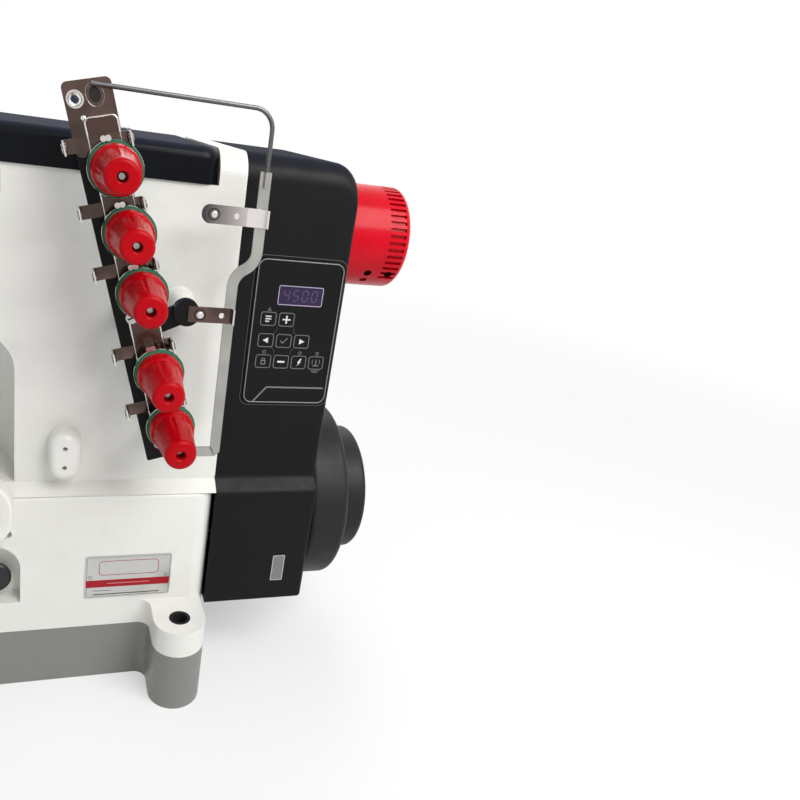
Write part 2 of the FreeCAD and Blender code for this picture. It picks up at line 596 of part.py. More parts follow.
arm.pad("XZ", slot_outline("bossAcross", "bossLow", "bossHigh", "bossRadius"), "faceFront + 1",
        "bossDepth + 1")
arm.fillet("bossRound", ("bossAcross", "faceFront - bossDepth", "bossHigh"))
arm.drill("XZ", [("bossAcross", "bossHoleLow"), ("bossAcross", "bossHoleLow + bossHolePitch")],
          "bossHoleRadius", "faceFront - bossDepth + bossHoleDeep", "bossHoleDeep + 1")
arm.keep()

# covers
top = Body("top_cover")
top.pad("XY", box_outline("bedLeft", "faceFront - topProud", "shoulderLeft", "armBack"), "armTop",
        "headTop - armTop")
top.fillet("topEndRound", ("shoulderLeft", "faceFront - topProud", "(armTop + headTop) / 2"),
           ("shoulderLeft", "armBack", "(armTop + headTop) / 2"))
top.fillet("topRound", ("0", "faceFront - topProud", "headTop"))
top.cut("XY", box_outline("bedLeft + coverWall", "faceFront - topProud + coverWall",
                          "shoulderLeft - topEndRound", "armBack - coverWall"), "armTop - 1",
        "headTop - armTop + 1 - topRound")
top.cut("XY", box_outline("bedLeft + coverWall", "faceFront - topProud + topRound",
                          "shoulderLeft - topEndRound", "armBack - topRound"), "armTop - 1",
        "headTop - armTop + 1 - coverWall")
top.keep()

face = Body("face_cover")
face.pad("YZ", round_outline("faceFront + faceMargin", "headUnder + faceMargin", "armBack - faceMargin",
                             "armTop - faceMargin", "faceCorner"), "bedLeft - faceThick", "faceThick")
face.fillet("faceRound", ("bedLeft - faceThick", "0", "headUnder + faceMargin"))
face.keep()


def side_outline(inset):
    """Side view of the drive cover, drawn in by a wall thickness."""
    back, front, step = f"armBack - {inset}", f"faceFront + {inset}", f"bedFront + {inset}"
    return [(back, f"sideBottom + {inset}"), (back, f"headTop - {inset}"), (front, f"headTop - {inset}"),
            (front, f"ledgeTop + {inset} / 3"), (step, f"bedTop + {inset} / 3"),
            (step, f"sideBottom + {inset}")]


cover = Body("side_cover")
cover.pad("YZ", side_outline("0"), "bedRight", "sideRight - bedRight")
cover.fillet("sideRound", ("sideRight", "0", "headTop"))
cover.fillet("sideEdge", ("sideRight", "faceFront", "(headTop + ledgeTop) / 2"),
             ("sideRight", "bedFront", "(sideBottom + bedTop) / 2"))
cover.cut("YZ", side_outline("sideWall"), "bedRight - 1", "sideRight - bedRight - sideWall - sideRound + 1")
cover.cut("YZ", box_outline("faceFront + sideWall + 2", "sideBottom + sideWall + 2", "armBack - sideWall - 2",
                            "headTop - sideRound"), "bedRight - 1", "sideRight - bedRight - sideWall + 1")
cover.drill("YZ", [("shaftBack", "upperShaftHeight")], "shaftHole", "sideRight - sideWall - 1",
            "sideWall + 2")
cover.drill("YZ", [("shaftBack", "lowerShaftHeight")], "neckRadius + neckGap", "sideRight - sideWall - 1",
            "sideWall + 2")
cover.keep()

# control panel
KEYS = [(0, 0), (0, 1), (1, 0), (1, 1), (1, 2), (2, 0), (2, 1), (2, 2), (2, 3)]
PANEL = round_outline("panelLeft", "panelLow", "panelRight", "panelHigh", "panelCorner")
panel = Body("control_panel")
panel.pad("XZ", PANEL, "faceFront", "panelThick + rimRise")
panel.cut("XZ", round_outline("panelLeft + panelRim", "panelLow + panelRim", "panelRight - panelRim",
                              "panelHigh - panelRim", "panelCorner - panelRim"), "faceFront - panelThick",
          "rimRise + 1")
panel.cut("XZ", box_outline("windowLeft", "windowLow", "windowRight", "windowHigh"),
          "faceFront - panelThick + windowDeep", "windowDeep + 1")
for line, column in KEYS:
    left = f"keyFirstAcross + {column} * keyPitch - keyWide / 2"
    low = f"keyFirstHeight - {line} * keyRowPitch - keyTall / 2"
    panel.pad("XZ", round_outline(left, low, f"{left} + keyWide", f"{low} + keyTall", "keyCorner"),
              "faceFront - panelThick + 0.2", "keyRise + 0.2")
panel.keep()
keep("display_window", block("display_window_block", "windowLeft", "faceFront - panelThick", "windowLow",
                             "windowRight - windowLeft", "windowDeep", "windowHigh - windowLow"))

# plates and label
name = Body("name_plate")
name.pad("XZ", round_outline("nameLeft", "nameLow", "nameRight", "nameHigh", "nameCorner"), "bedFront",
         "nameThick")
name.keep()
keep("plate_rivets", group("plate_rivet_set", [
    rod(f"plate_rivet_{number}", "rivetRadius", "rivetRise", x, "bedFront - nameThick",
        "(nameLow + nameHigh) / 2", FORWARD)
    for number, x in enumerate(("nameLeft + rivetInset", "nameRight - rivetInset"))]))
keep("cover_label", block("cover_label_block", "labelLeft", "bedFront - labelThick", "labelLow",
                          "labelRight - labelLeft", "labelThick", "labelHigh - labelLow"))
badge = Body("arm_badge")
badge.pad("XZ", round_outline("badgeLeft", "badgeLow", "badgeRight", "badgeHigh", "nameCorner"), "faceFront",
          "nameThick")
badge.keep()

# shafts, bearings and belt drive
keep("upper_shaft", rod("upper_shaft_rod", "shaftRadius",
                        "sideRight + wheelGap + wheelWide - wheelDish - upperShaftLeft",
                        "upperShaftLeft", "shaftBack", "upperShaftHeight", RIGHTWARD))
keep("lower_shaft", rod("lower_shaft_rod", "shaftRadius",
                        "sideRight + motorWide - motorWall - rotorGap - lowerShaftLeft",
                        "lowerShaftLeft", "shaftBack", "lowerShaftHeight", RIGHTWARD))
BEARINGS = [("headWeb", "headWebThick", "upperShaftHeight"),
            ("bedRight - armWall", "armWall", "upperShaftHeight"),
            ("webLeft", "webThick", "lowerShaftHeight"),
            ("bedRight - bedWall", "bedWall", "lowerShaftHeight")]
keep("shaft_bearings", group("shaft_bearing_set", [
    tube(f"shaft_bearing_{number}", "shaftRadius + bearingWall", "shaftRadius + runningGap", length, x,
         "shaftBack", z, RIGHTWARD) for number, (x, length, z) in enumerate(BEARINGS)]))


def pulley(node, height):
    wheel = Body(node)
    outer = "pulleyRadius + flangeRise"
    wheel.turn([("shaftRadius", "0"), (outer, "0"), (outer, "flangeThick"), ("pulleyRadius", "flangeThick"),
                ("pulleyRadius", "pulleyWide - flangeThick"), (outer, "pulleyWide - flangeThick"),
                (outer, "pulleyWide"), ("shaftRadius", "pulleyWide")])
    wheel.keep("pulleyLeft", "shaftBack", height, RIGHTWARD)


pulley("upper_pulley", "upperShaftHeight")
pulley("lower_pulley", "lowerShaftHeight")


def belt_outline(radius):
    left, right = f"shaftBack - ({radius})", f"shaftBack + {radius}"
    top, bottom = "upperShaftHeight", "lowerShaftHeight"
    return [("shaftBack", f"{bottom} - ({radius})"), (right, bottom, radius), (right, top),
            ("shaftBack", f"{top} + {radius}", radius), (left, top, radius), (left, bottom),
            ("close", radius)]


belt = Body("timing_belt")
belt.pad("YZ", belt_outline("pulleyRadius + beltGap + beltThick"), "pulleyLeft + flangeThick + beltGap",
         "pulleyWide - 2 * flangeThick - 2 * beltGap")
belt.cut("YZ", belt_outline("pulleyRadius + beltGap"), "pulleyLeft", "pulleyWide")
belt.keep()

crank = Body("needle_bar_crank")
crank.post("XY", [("0", "0")], "crankRadius", "-1 * crankThick", "crankThick")
crank.post("XY", [("crankThrow", "0")], "crankPinRadius", "-1 * crankThick - crankPinLong",
           "crankPinLong + 1")
crank.drill("XY", [("0", "0")], "shaftRadius", "-1 * crankThick / 2", "crankThick")
crank.keep("upperShaftLeft + crankThick / 2", "shaftBack", "upperShaftHeight", RIGHTWARD)

wheel = Body("handwheel")
wheel.turn([("shaftRadius", "0"), ("wheelRadius", "0"), ("wheelRadius", "wheelWide - wheelRound"),
            ("wheelRadius - wheelRound", "wheelWide", "wheelRound"),
            ("wheelRadius - wheelRound - wheelRim", "wheelWide"),
            ("wheelRadius - wheelRound - wheelRim", "wheelWide - wheelDish"),
            ("hubRadius", "wheelWide - wheelDish"),
            ("hubRadius", "wheelWide - wheelDish / 2"), ("shaftRadius", "wheelWide - wheelDish / 2")])
grip = wheel.cut("XY", box_outline("wheelRadius - gripDepth", "-1 * gripWide / 2", "wheelRadius + 1",
                                   "gripWide / 2"), "wheelSmooth", "gripLong",
                 box_outline("-1 * wheelRadius - 1", "-1 * gripWide / 2", "gripDepth - wheelRadius",
                             "gripWide / 2"))
wheel.around(grip, "gripCount", "gripPitch")
place(wheel.body, "sideRight + wheelGap", "shaftBack", "upperShaftHeight",
      RIGHTWARD.multiply(FreeCAD.Rotation(FreeCAD.Vector(0, 0, 1), value("gripStart"))))
reach = "(wheelRadius - setScrewDeep)"
screw_holes = group("set_screw_holes", [
    rod(f"set_screw_hole_{number}", "setScrewRadius", "setScrewDeep + 1",
        f"sideRight + wheelGap + setScrewFirst + {number} * setScrewPitch",
        f"shaftBack - {reach} * cos(setScrewTurn * 1deg)",
        f"upperShaftHeight - {reach} * sin(setScrewTurn * 1deg)",
        FreeCAD.Rotation(FreeCAD.Vector(1, 0, 0), 90 + value("setScrewTurn"))) for number in range(2)])
keep("handwheel", cut("drilled_handwheel", wheel.body, screw_holes))

# motor
housing = Body("motor_housing")
housing.turn([("shaftRadius + motorBoreGap", "0"), ("neckRadius", "0"),
              ("neckRadius", "sideRight + neckGap - neckLeft"),
              ("motorRadius - motorRound", "sideRight + neckGap - neckLeft"),
              ("motorRadius", "sideRight + neckGap - neckLeft + motorRound", "motorRound"),
              ("motorRadius", "sideRight + motorWide - neckLeft - motorRound"),
              ("motorRadius - motorRound", "sideRight + motorWide - neckLeft", "motorRound"),
              ("rotorRadius + rotorGap", "sideRight + motorWide - neckLeft"),
              ("rotorRadius + rotorGap", "motorWall"), ("shaftRadius + motorBoreGap", "motorWall")])
housing.keep("neckLeft", "shaftBack", "lowerShaftHeight", RIGHTWARD)
cap = Body("motor_cap")
cap.turn([("0", "0"), ("capRadius", "0"), ("capRadius", "capWide - capRound"),
          ("capRadius - capRound", "capWide", "capRound"), ("0", "capWide")])
cap.keep("sideRight + motorWide", "shaftBack", "lowerShaftHeight", RIGHTWARD)
rotor = Body("motor_rotor")
rotor.turn([("shaftRadius", "0"), ("rotorRadius", "0"),
            ("rotorRadius", "sideRight + motorWide - neckLeft - motorWall - 2 * rotorGap"),
            ("shaftRadius", "sideRight + motorWide - neckLeft - motorWall - 2 * rotorGap")])
rotor.keep("neckLeft + motorWall + rotorGap", "shaftBack", "lowerShaftHeight", RIGHTWARD)
bracket = Body("motor_bracket")
bracket.post("XY", [("0", "0")], "bracketRadius", "neckLeft - bracketThick - bedRight", "bracketThick")
bracket.drill("XY", [("0", "0")], "shaftRadius + motorBoreGap", "0", "neckLeft - bedRight + 1")
PILLARS = [(f"pillarCircle * cos({angle} * 1deg)", f"pillarCircle * sin({angle} * 1deg)")
           for angle in (-60, 0, 60)]
bracket.post("XY", PILLARS, "pillarRadius", "0", "neckLeft - bracketThick - bedRight + 1")
bracket.keep("bedRight", "shaftBack", "lowerShaftHeight", RIGHTWARD)

# tension assembly, set out on a tilted board: across to the right, down along the board
TILT = FreeCAD.Rotation(FreeCAD.Vector(0, 1, 0), -value("boardTilt"))
POSTS = ["upperPost", "upperPost + postPitch", "upperPost + 2 * postPitch", "lowerPost",
         "lowerPost + lowerPitch"]


def on_board(across, down):
    slant, upright = "sin(boardTilt * 1deg)", "cos(boardTilt * 1deg)"
    return (f"boardX + ({across}) * {upright} + ({down}) * {slant}",
            f"boardZ + ({across}) * {slant} - ({down}) * {upright}")


STANDOFFS = ["standoffUpper", "standoffLower"]
board = Body("tension_plate")
board.pad("XZ", round_outline("0", "-1 * boardLong", "boardWide", "0", "boardCorner"), "boardThick",
          "boardThick")
board.drill("XZ", [("standoffAcross", f"-1 * {down}") for down in STANDOFFS], "screwShank + knobBoreGap",
            "boardThick + 1", "boardThick + 2")
board.keep("boardX", "boardFront", "boardZ", TILT)

standoffs = []
for number, down in enumerate(STANDOFFS):
    x, z = on_board("standoffAcross", down)
    standoffs.append(fuse(f"plate_standoff_{number}", [
        rod(f"standoff_post_{number}", "standoffRadius", "faceFront - boardFront - boardThick", x, "faceFront",
            z, FORWARD),
        rod(f"standoff_shank_{number}", "screwShank", "boardThick", x, "boardFront + boardThick", z, FORWARD),
        rod(f"standoff_head_{number}", "screwHead", "screwRise", x, "boardFront", z, FORWARD)]))
keep("plate_standoffs", group("plate_standoff_set", standoffs))


def knob(number, down):
    """A smooth skirt and a tapered body, scalloped where the two meet, with a cup for the spring."""
    made = Body(f"tension_knob_{number}")
    bore, step = "postRadius + knobBoreGap", "knobSkirt + knobEdge / 2"
    made.turn([(bore, "knobCup"), ("knobCupRadius", "knobCup"), ("knobCupRadius", "0"),
               ("knobRadius - knobEdge", "0"), ("knobRadius", "knobEdge", "knobEdge"),
               ("knobSkirtTop", "knobSkirt"), ("knobWaist", step), ("knobTip", "knobLong - knobRound"),
               ("knobTip - knobRound", "knobLong", "knobRound"), ("knobHole", "knobLong"),
               ("knobHole", "knobLong - knobHoleDeep"), (bore, "knobLong - knobHoleDeep")])
    flute = made.drill("XY", [("knobWaist + fluteRadius - fluteDepth", "0")], "fluteRadius", step, "knobLong")
    made.around(flute, "fluteCount", "360 / fluteCount")
    x, z = on_board("postAcross", down)
    made.keep(x, "boardFront - knobStart", z, FORWARD)


DISC_FACE = "(collarThick + discDish + discThick)"    # from the board to where the two discs meet
SPRING_SEAT = f"({DISC_FACE} + discGap + discThick)"
wire, spring_rise = value("springWire"), value(f"knobStart + knobCup - {SPRING_SEAT} - 2 * springClear")
spring_shape = spring(value("springRadius"), wire, spring_rise - 2 * wire, value("springTurns"))
posts, discs, washers, springs, ears = [], [], [], [], []
for number, down in enumerate(POSTS, 1):
    x, z = on_board("postAcross", down)
    knob(number, down)
    posts.append(fuse(f"tension_post_{number}", [
        rod(f"tension_stud_{number}", "postRadius", "knobStart + knobLong - postShort", x, "boardFront", z,
            FORWARD),
        rod(f"tension_collar_{number}", "collarRadius", "collarThick", x, "boardFront", z, FORWARD)]))
    for name, rim, dish, start, rotation in (
            ("front", "cupRadius", "cupDish", f"boardFront - {DISC_FACE} - discGap", FORWARD),
            ("rear", "discRadius", "discDish", f"boardFront - {DISC_FACE}", BACKWARD)):
        disc = Body(f"disc_{name}_{number}")
        disc.turn([("postRadius + knobBoreGap", "0"), ("discFlat", "0"), (rim, dish),
                   (rim, f"{dish} + discThick"), ("discFlat", "discThick"),
                   ("postRadius + knobBoreGap", "discThick")])
        discs.append(place(disc.body, x, start, z, rotation))
    washers.append(tube(f"disc_washer_{number}", "washerRadius", "washerBore", "washerThick", x,
                        "boardFront - knobStart + washerGap + washerThick", z, FORWARD))
    coil = doc.addObject("Part::Feature", f"spring_{number}")
    coil.Shape = spring_shape
    springs.append(place(coil, x, f"boardFront - {SPRING_SEAT} - springWire - springClear", z, FORWARD))
    guide = Body(f"guide_{number}")
    guide.pad("XY", [("-1 * earLeft", "0"), ("-1 * earLeft", "-1 * earDeep"),
                     ("earThick - earLeft", "-1 * earDeep"), ("earThick - earLeft", "-1 * earThick"),
                     ("earRight - earThick", "-1 * earThick"), ("earRight - earThick", "-1 * earDeep"),
                     ("earRight", "-1 * earDeep"), ("earRight", "0")], "0", "earTall")
    guide.drill("YZ", [("earHoleInset - earDeep", "earTall / 2")], "earHole", "-1 * earLeft - 1",
                "earLeft + earRight + 2")
    for across in ("stubAcross", "stubAcross + stubPitch"):
        guide.post("XZ", [(across, "stubHeight")], "stubRadius", "0", "stubLong")
    x, z = on_board("postAcross", f"{down} - earDown")
    seat = "boardFront - topGuideThick" if number == 1 else "boardFront"
    ears.append(place(guide.body, x, seat, z, TILT))
keep("tension_posts", group("tension_post_set", posts))
keep("tension_discs", group("tension_disc_set", discs))
keep("disc_washers", group("disc_washer_set", washers))
keep("thread_guides", group("thread_guide_set", ears))
keep("tension_springs", group("tension_spring_set", springs))

# top guide plate with its ring
top_guide = Body("top_guide_plate")
top_guide.pad("XZ", round_outline("0", "-1 * topGuideLong", "boardWide", "topGuideProud", "boardCorner"), "0",
              "topGuideThick")
RING = [("ringRadius + ringInset", "-1 * ringRadius - ringDown")]
top_guide.post("XZ", RING, "ringRadius", "0", "topGuideThick + ringWire * 2")
top_guide.drill("XZ", RING, "ringRadius - ringWire", "1", "topGuideThick + ringWire * 2 + 2")
top_guide.keep("boardX", "boardFront", "boardZ", TILT)

# guide rail: a round wire along the top and a flat strip down the side
rail = Body("guide_rail")
STRIP_OUT = "railRight + stripWide / 2"
rail.pad("XZ", [("railRight - stripWide / 2", "stripTop"), ("railRight - stripWide / 2", "jogTop"),
                ("stripInner", "jogBottom"), ("stripInner", "stripBottom + stripWide"),
                ("stripEnd", "stripBottom + stripWide"), ("stripEnd", "stripBottom"),
                ("stripInner + stripWide", "stripBottom"), ("stripInner + stripWide", "jogBottom"),
                (STRIP_OUT, "jogTop"), (STRIP_OUT, "stripTop")], "boardFront", "stripThick")
rail_line = "boardFront - topGuideThick - railRadius"
rail_wire = doc.addObject("Part::Feature", "guide_rail_wire")
rail_wire.Shape = bent_rod(value("railRadius"), [
    vector("railLeft", rail_line, "railHeight"), vector("railRight", rail_line, "railHeight"),
    vector("railRight", rail_line, "stripTop - railLap")], value("railBend"))
keep("guide_rail", fuse("guide_rail_joined", [rail.body, rail_wire]))

strip_front = "boardFront - stripThick"
upper = Body("upper_guide")
upper.pad("XZ", round_outline("upperGuideLeft", "upperGuideHeight - upperGuideTall / 2", STRIP_OUT,
                              "upperGuideHeight + upperGuideTall / 2", "upperGuideTall * 0.45"), strip_front,
          "guideThick")
upper.drill("XZ", [("upperGuideLeft + guideHoleInset", "upperGuideHeight")], "guideHole",
            f"{strip_front} + 1", "guideThick + 2")
upper.post("XZ", [("upperGuideLeft + guideScrewInset", "upperGuideHeight")], "guideScrew",
           strip_front, "guideThick + guideScrewRise")
upper.keep()

lower = Body("lower_guide")
lower.pad("XZ", box_outline("lowerGuideLeft", "lowerGuideHeight - lowerGuideTall / 2", "lowerGuideRight",
                            "lowerGuideHeight + lowerGuideTall / 2"), strip_front, "guideThick")
lower.pad("XZ", box_outline("lowerGuideRight - guideThick", "lowerGuideHeight - lowerGuideTall / 2",
                            "lowerGuideRight", "lowerGuideHeight + lowerGuideTall / 2"), strip_front,
          "tabLong")
lower.drill("XZ", [("lowerGuideLeft + guideHoleInset", "lowerGuideHeight")], "guideHole",
            f"{strip_front} + 1", "guideThick + 2")
lower.post("XZ", [("lowerGuideLeft + guideScrewInset", "lowerGuideHeight")], "guideScrew",
           strip_front, "guideThick + guideScrewRise")
lower.keep()

web = Body("guide_bracket")
web_x, web_z = on_board("boardWide / 2", "webDown")
web.pad("XZ", [(web_x, f"{web_z} - webTall / 2"), ("bossX", "lowerGuideHeight - guideBossRadius + 1"),
               ("bossX", "lowerGuideHeight + guideBossRadius - 1"), (web_x, f"{web_z} + webTall / 2")],
        "boardFront + boardThick + bracketDeep", "bracketDeep")
web.post("XZ", [("bossX", "lowerGuideHeight")], "guideBossRadius", "boardFront + boardThick + bracketDeep",
         "boardThick + bracketDeep + stripThick")
web.keep()

# needle bar, presser and spreader
keep("needle_bar", rod("needle_bar_rod", "needleBarRadius", "needleBarTop - clampLow - clampTall / 2",
                       "needleAcross", "shaftBack", "clampLow + clampTall / 2"))
clamp = Body("needle_clamp")
clamp.pad("XY", round_outline("-1 * clampWide / 2", "-1 * clampDeep / 2", "clampWide / 2", "clampDeep / 2",
                              "clampRound"),
          "0", "clampTall")
clamp.drill("XY", [("0", "0")], "needleBarRadius", "clampTall / 2", "clampTall")
NEEDLES = [(f"{column} * needlePitch", "0") for column in (-1, 0, 1)]
clamp.drill("XY", NEEDLES, "needleRadius", "-1", "clampTall / 2")
clamp.keep("needleAcross", "shaftBack", "clampLow")


def needle(number, across):
    made = Body(f"needle_{number}")
    made.turn([("0", "0"), ("needleRadius * 0.75", "needleTip"),
               ("needleRadius * 0.75", "clampLow - needlePoint - needleTip - needleTaper"),
               ("needleRadius", "clampLow - needlePoint - needleTip"),
               ("needleRadius", "clampLow - needlePoint + clampTall / 2 - 1"),
               ("0", "clampLow - needlePoint + clampTall / 2 - 1")])
    return place(made.body, f"needleAcross + {across}", "shaftBack", "needlePoint")


keep("needles", group("needle_set", [needle(number, spot[0]) for number, spot in enumerate(NEEDLES)]))
keep("head_bushes", group("head_bush_set", [
    tube("needle_bar_bush", "bushRadius", "needleBarRadius + runningGap", "armWall + bushProud", "needleAcross",
         "shaftBack", "headUnder - bushProud"),
    tube("presser_bush", "bushRadius", "presserRadius + runningGap", "armWall + bushProud", "needleAcross",
         "presserBack", "headUnder - bushProud")]))
keep("presser_bar", rod("presser_bar_rod", "presserRadius", "presserTop - presserLow", "needleAcross",
                        "presserBack", "presserLow"))
SOLE_LOW = "bedTop + clothThick + feedRise + footLift"
presser = Body("presser_foot")
presser.pad("YZ", [("shaftBack - footToe + 5", SOLE_LOW), ("presserBack + footShank / 2", SOLE_LOW),
                   ("presserBack + footShank / 2", "presserLow + footShank"),
                   ("presserBack - footShank / 2", "presserLow + footShank"),
                   ("presserBack - footShank / 2", "presserLow + 2"),
                   ("shaftBack + 10", f"{SOLE_LOW} + footSole"),
                   ("shaftBack - footToe + 5", f"{SOLE_LOW} + footSole"),
                   ("shaftBack - footToe", f"{SOLE_LOW} + 4"), ("shaftBack - footToe", f"{SOLE_LOW} + 2")],
            "needleAcross - footWide / 2", "footWide")
presser.cut("XZ", box_outline("needleAcross - footWide", "presserLow - 1", "needleAcross - footShank / 2",
                              "presserLow + footShank + 1"), "presserBack + footShank", "footShank * 3")
presser.cut("XZ", box_outline("needleAcross + footShank / 2", "presserLow - 1", "needleAcross + footWide",
                              "presserLow + footShank + 1"), "presserBack + footShank", "footShank * 3")
presser.drill("XY", [("needleAcross", "presserBack")], "presserRadius", "presserLow", "footShank + 1")
presser.cut("XY", box_outline("needleAcross - needleSlotWide / 2", "shaftBack - needleSlotDeep",
                              "needleAcross + needleSlotWide / 2", "shaftBack + needleSlotDeep"), "bedTop",
            "presserLow + footShank - bedTop")
presser.keep()

spreader = Body("cover_spreader")
spreader.post("XY", [("spreaderAcross", "spreaderBack")], "spreaderRadius", "spreaderLow",
              "headUnder + armWall + 6 - spreaderLow")
spreader.pad("XY", [("spreaderAcross", "spreaderBack - spreaderRadius"),
                    ("spreaderAcross + spreaderReach", "spreaderBack + spreaderRadius - 1"),
                    ("spreaderAcross + spreaderReach", "spreaderBack + spreaderRadius"),
                    ("spreaderAcross", "spreaderBack + spreaderRadius")], "spreaderLow", "spreaderThick")
spreader.keep()

lifter = Body("presser_lifter")
lifter.pad("XZ", slot_outline("0", "-1 * lifterLong", "lifterWide / 2", "lifterWide / 2"), "0",
           "-1 * lifterThick")
lifter.keep("lifterX", "armBack + plateGap", "lifterZ")

# looper, looper door and controls on the bed's front
looper = Body("looper")
looper.post("YZ", [("looperShaftBack", "looperShaftHeight")], "looperShaftRadius", "bedLeft + 4",
            "webLeft + webThick - 5 - bedLeft - 4")
looper.post("YZ", [("looperShaftBack", "looperShaftHeight")], "looperHub", "looperLeft", "looperWide")
looper.pad("YZ", [("looperShaftBack - looperHub + 1", "looperShaftHeight"),
                  ("looperShaftBack", "looperShaftHeight + looperHub - 1"),
                  ("looperTipBack + looperArm", "looperTip - looperArm"),
                  ("looperTipBack + looperArm", "looperTip"),
                  ("looperTipBack", "looperTip")], "looperLeft + 2", "looperWide - 4")
looper.pad("XY", [("looperLeft + 2", "looperTipBack"), ("looperLeft + 22", "looperTipBack"),
                  ("looperLeft + 10", "looperTipBack + looperArm - 1"),
                  ("looperLeft + 2", "looperTipBack + looperArm - 1")], "looperTip - 3", "3")
looper.keep()

DOOR_Y = "bedFront - doorGap"
door = Body("looper_door")
door.pad("XZ", round_outline("bayLeft - doorMargin", "hingeHeight", "bayRight + doorMargin",
                             "bayTop + doorMargin", "bayCorner"), DOOR_Y, "doorThick")
door.fillet("doorRound", ("-160", "bedFront - doorGap - doorThick", "bayTop + doorMargin"))
door.post("YZ", [("bedFront - doorGap - hingeRadius", "hingeHeight")], "hingeRadius",
          "bayLeft - doorMargin + hingeEar + hingeGap",
          "bayRight - bayLeft + 2 * (doorMargin - hingeEar - hingeGap)")
for left in ("bayLeft - doorMargin - 1", "bayRight + doorMargin - hingeEar - hingeGap"):
    door.cut("XZ", box_outline(left, "hingeHeight - hingeRadius - 1", f"{left} + hingeEar + hingeGap + 1",
                               "hingeHeight + hingeRadius + hingeGap"), "bedFront", "doorThick + doorGap + 4")
door.drill("YZ", [("bedFront - doorGap - hingeRadius", "hingeHeight")], "hingePin + runningGap",
           "bayLeft - doorMargin - 1", "bayRight - bayLeft + 2 * doorMargin + 2")
door.keep()

hinge = Body("door_hinge")
hinge.post("YZ", [("bedFront - doorGap - hingeRadius", "hingeHeight")], "hingePin", "bayLeft - doorMargin",
           "bayRight - bayLeft + 2 * doorMargin")
for left in ("bayLeft - doorMargin", "bayRight + doorMargin - hingeEar"):
    hinge.pad("YZ", [("bedFront", "hingeHeight - hingeRadius"),
                     ("bedFront", "hingeHeight + hingeRadius"),
                     ("bedFront - doorGap - hingeRadius", "hingeHeight + hingeRadius"),
                     ("bedFront - doorGap - 2 * hingeRadius", "hingeHeight", "hingeRadius"),
                     ("bedFront - doorGap - hingeRadius", "hingeHeight - hingeRadius", "hingeRadius")],
              left, "hingeEar")
hinge.keep()

disc = Body("takeup_disc")
disc.post("XZ", [("takeupAcross", "takeupHeight")], "takeupShaft", "bedFront + controlWall + 6",
          "controlWall + 6 + takeupStand + takeupThick")
disc.post("XZ", [("takeupAcross - takeupOffset", "takeupHeight")], "takeupRadius", "bedFront - takeupStand",
          "takeupThick")
disc.keep()

guard = Body("takeup_guard")
guard.pad("XZ", round_outline("guardLeft", "guardLow", "guardRight", "guardHigh", "guardCorner"), "bedFront",
          "guardDepth")
guard.fillet("guardRound", ("(guardLeft + guardRight) / 2", "bedFront - guardDepth", "guardHigh"))
guard.cut("XZ", round_outline("guardLeft + guardWall", "guardLow + guardWall", "guardRight - guardWall",
                              "guardHigh - guardWall", "guardCorner - guardWall"), "bedFront + 1",
          "guardDepth - guardWall + 1")
guard.keep()

button = Body("stitch_button")
button.turn([("0", "0"), ("buttonRadius - buttonEdge", "0"), ("buttonRadius", "buttonEdge"),
             ("buttonRadius", "buttonThick"), ("buttonStem", "buttonThick"),
             ("buttonStem", "controlWall - buttonSunk + stemProud"),
             ("0", "controlWall - buttonSunk + stemProud")])
button.keep("nicheMiddle", "bedFront + buttonSunk", "buttonHeight", BACKWARD)

# wire loop in front of the take-up
guard_front = "bedFront - guardDepth"
front_wire = f"{guard_front} - wireProud"
wire_points = [vector("wireLeft", guard_front, "wireLow"), vector("wireLeft", front_wire, "wireLow"),
               vector("wireLeft", front_wire, "wireHigh"), vector("wireRight", front_wire, "wireHigh"),
               vector("wireRight", front_wire, "wireLow"), vector("wireRight", guard_front, "wireLow")]
wire_loop = doc.addObject("Part::Feature", "takeup_wire_rod")
wire_loop.Shape = bent_rod(value("wireRadius"), wire_points, value("wireRadius") * 2)
keep("takeup_wire", wire_loop)

doc.recompute()
for piece in doc.Objects:
    if "Invalid" in piece.State or "Error" in piece.State:
        raise RuntimeError(f"{piece.Name} failed: {piece.State}")
for node, piece in nodes.items():
    shape = piece.Shape
    if shape.isNull() or not shape.isValid() or not shape.Solids:
        raise RuntimeError(f"{node} has no valid shape")

os.makedirs("parts", exist_ok=True)
for node, piece in nodes.items():
    piece.Shape.exportStep(f"parts/{node}.step")
print(len(nodes), "sub-parts written")
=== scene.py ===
import json
import math
import bpy
import bmesh
import numpy as np
from mathutils import Matrix, Vector


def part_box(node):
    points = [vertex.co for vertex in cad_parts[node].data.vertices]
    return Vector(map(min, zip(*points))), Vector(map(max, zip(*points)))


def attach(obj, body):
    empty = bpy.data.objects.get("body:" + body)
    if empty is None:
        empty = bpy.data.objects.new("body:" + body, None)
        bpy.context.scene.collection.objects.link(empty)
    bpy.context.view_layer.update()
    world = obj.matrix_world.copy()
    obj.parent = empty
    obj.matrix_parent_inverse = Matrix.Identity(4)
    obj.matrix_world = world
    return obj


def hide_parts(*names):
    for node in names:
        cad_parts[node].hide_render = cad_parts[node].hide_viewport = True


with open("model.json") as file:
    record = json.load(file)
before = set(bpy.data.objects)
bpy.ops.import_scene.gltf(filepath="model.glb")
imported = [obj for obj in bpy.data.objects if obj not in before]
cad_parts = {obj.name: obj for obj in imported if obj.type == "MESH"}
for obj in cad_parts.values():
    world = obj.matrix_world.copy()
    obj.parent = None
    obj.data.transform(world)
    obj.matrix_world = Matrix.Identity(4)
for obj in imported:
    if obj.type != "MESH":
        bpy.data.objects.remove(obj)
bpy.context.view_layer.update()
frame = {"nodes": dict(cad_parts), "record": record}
nodes = frame["nodes"]
slotOf = {part["node"]: part["material_slot"] for part in frame["record"]["subparts"]}
mm = 0.001
print("frame loaded:", len(nodes), "nodes")


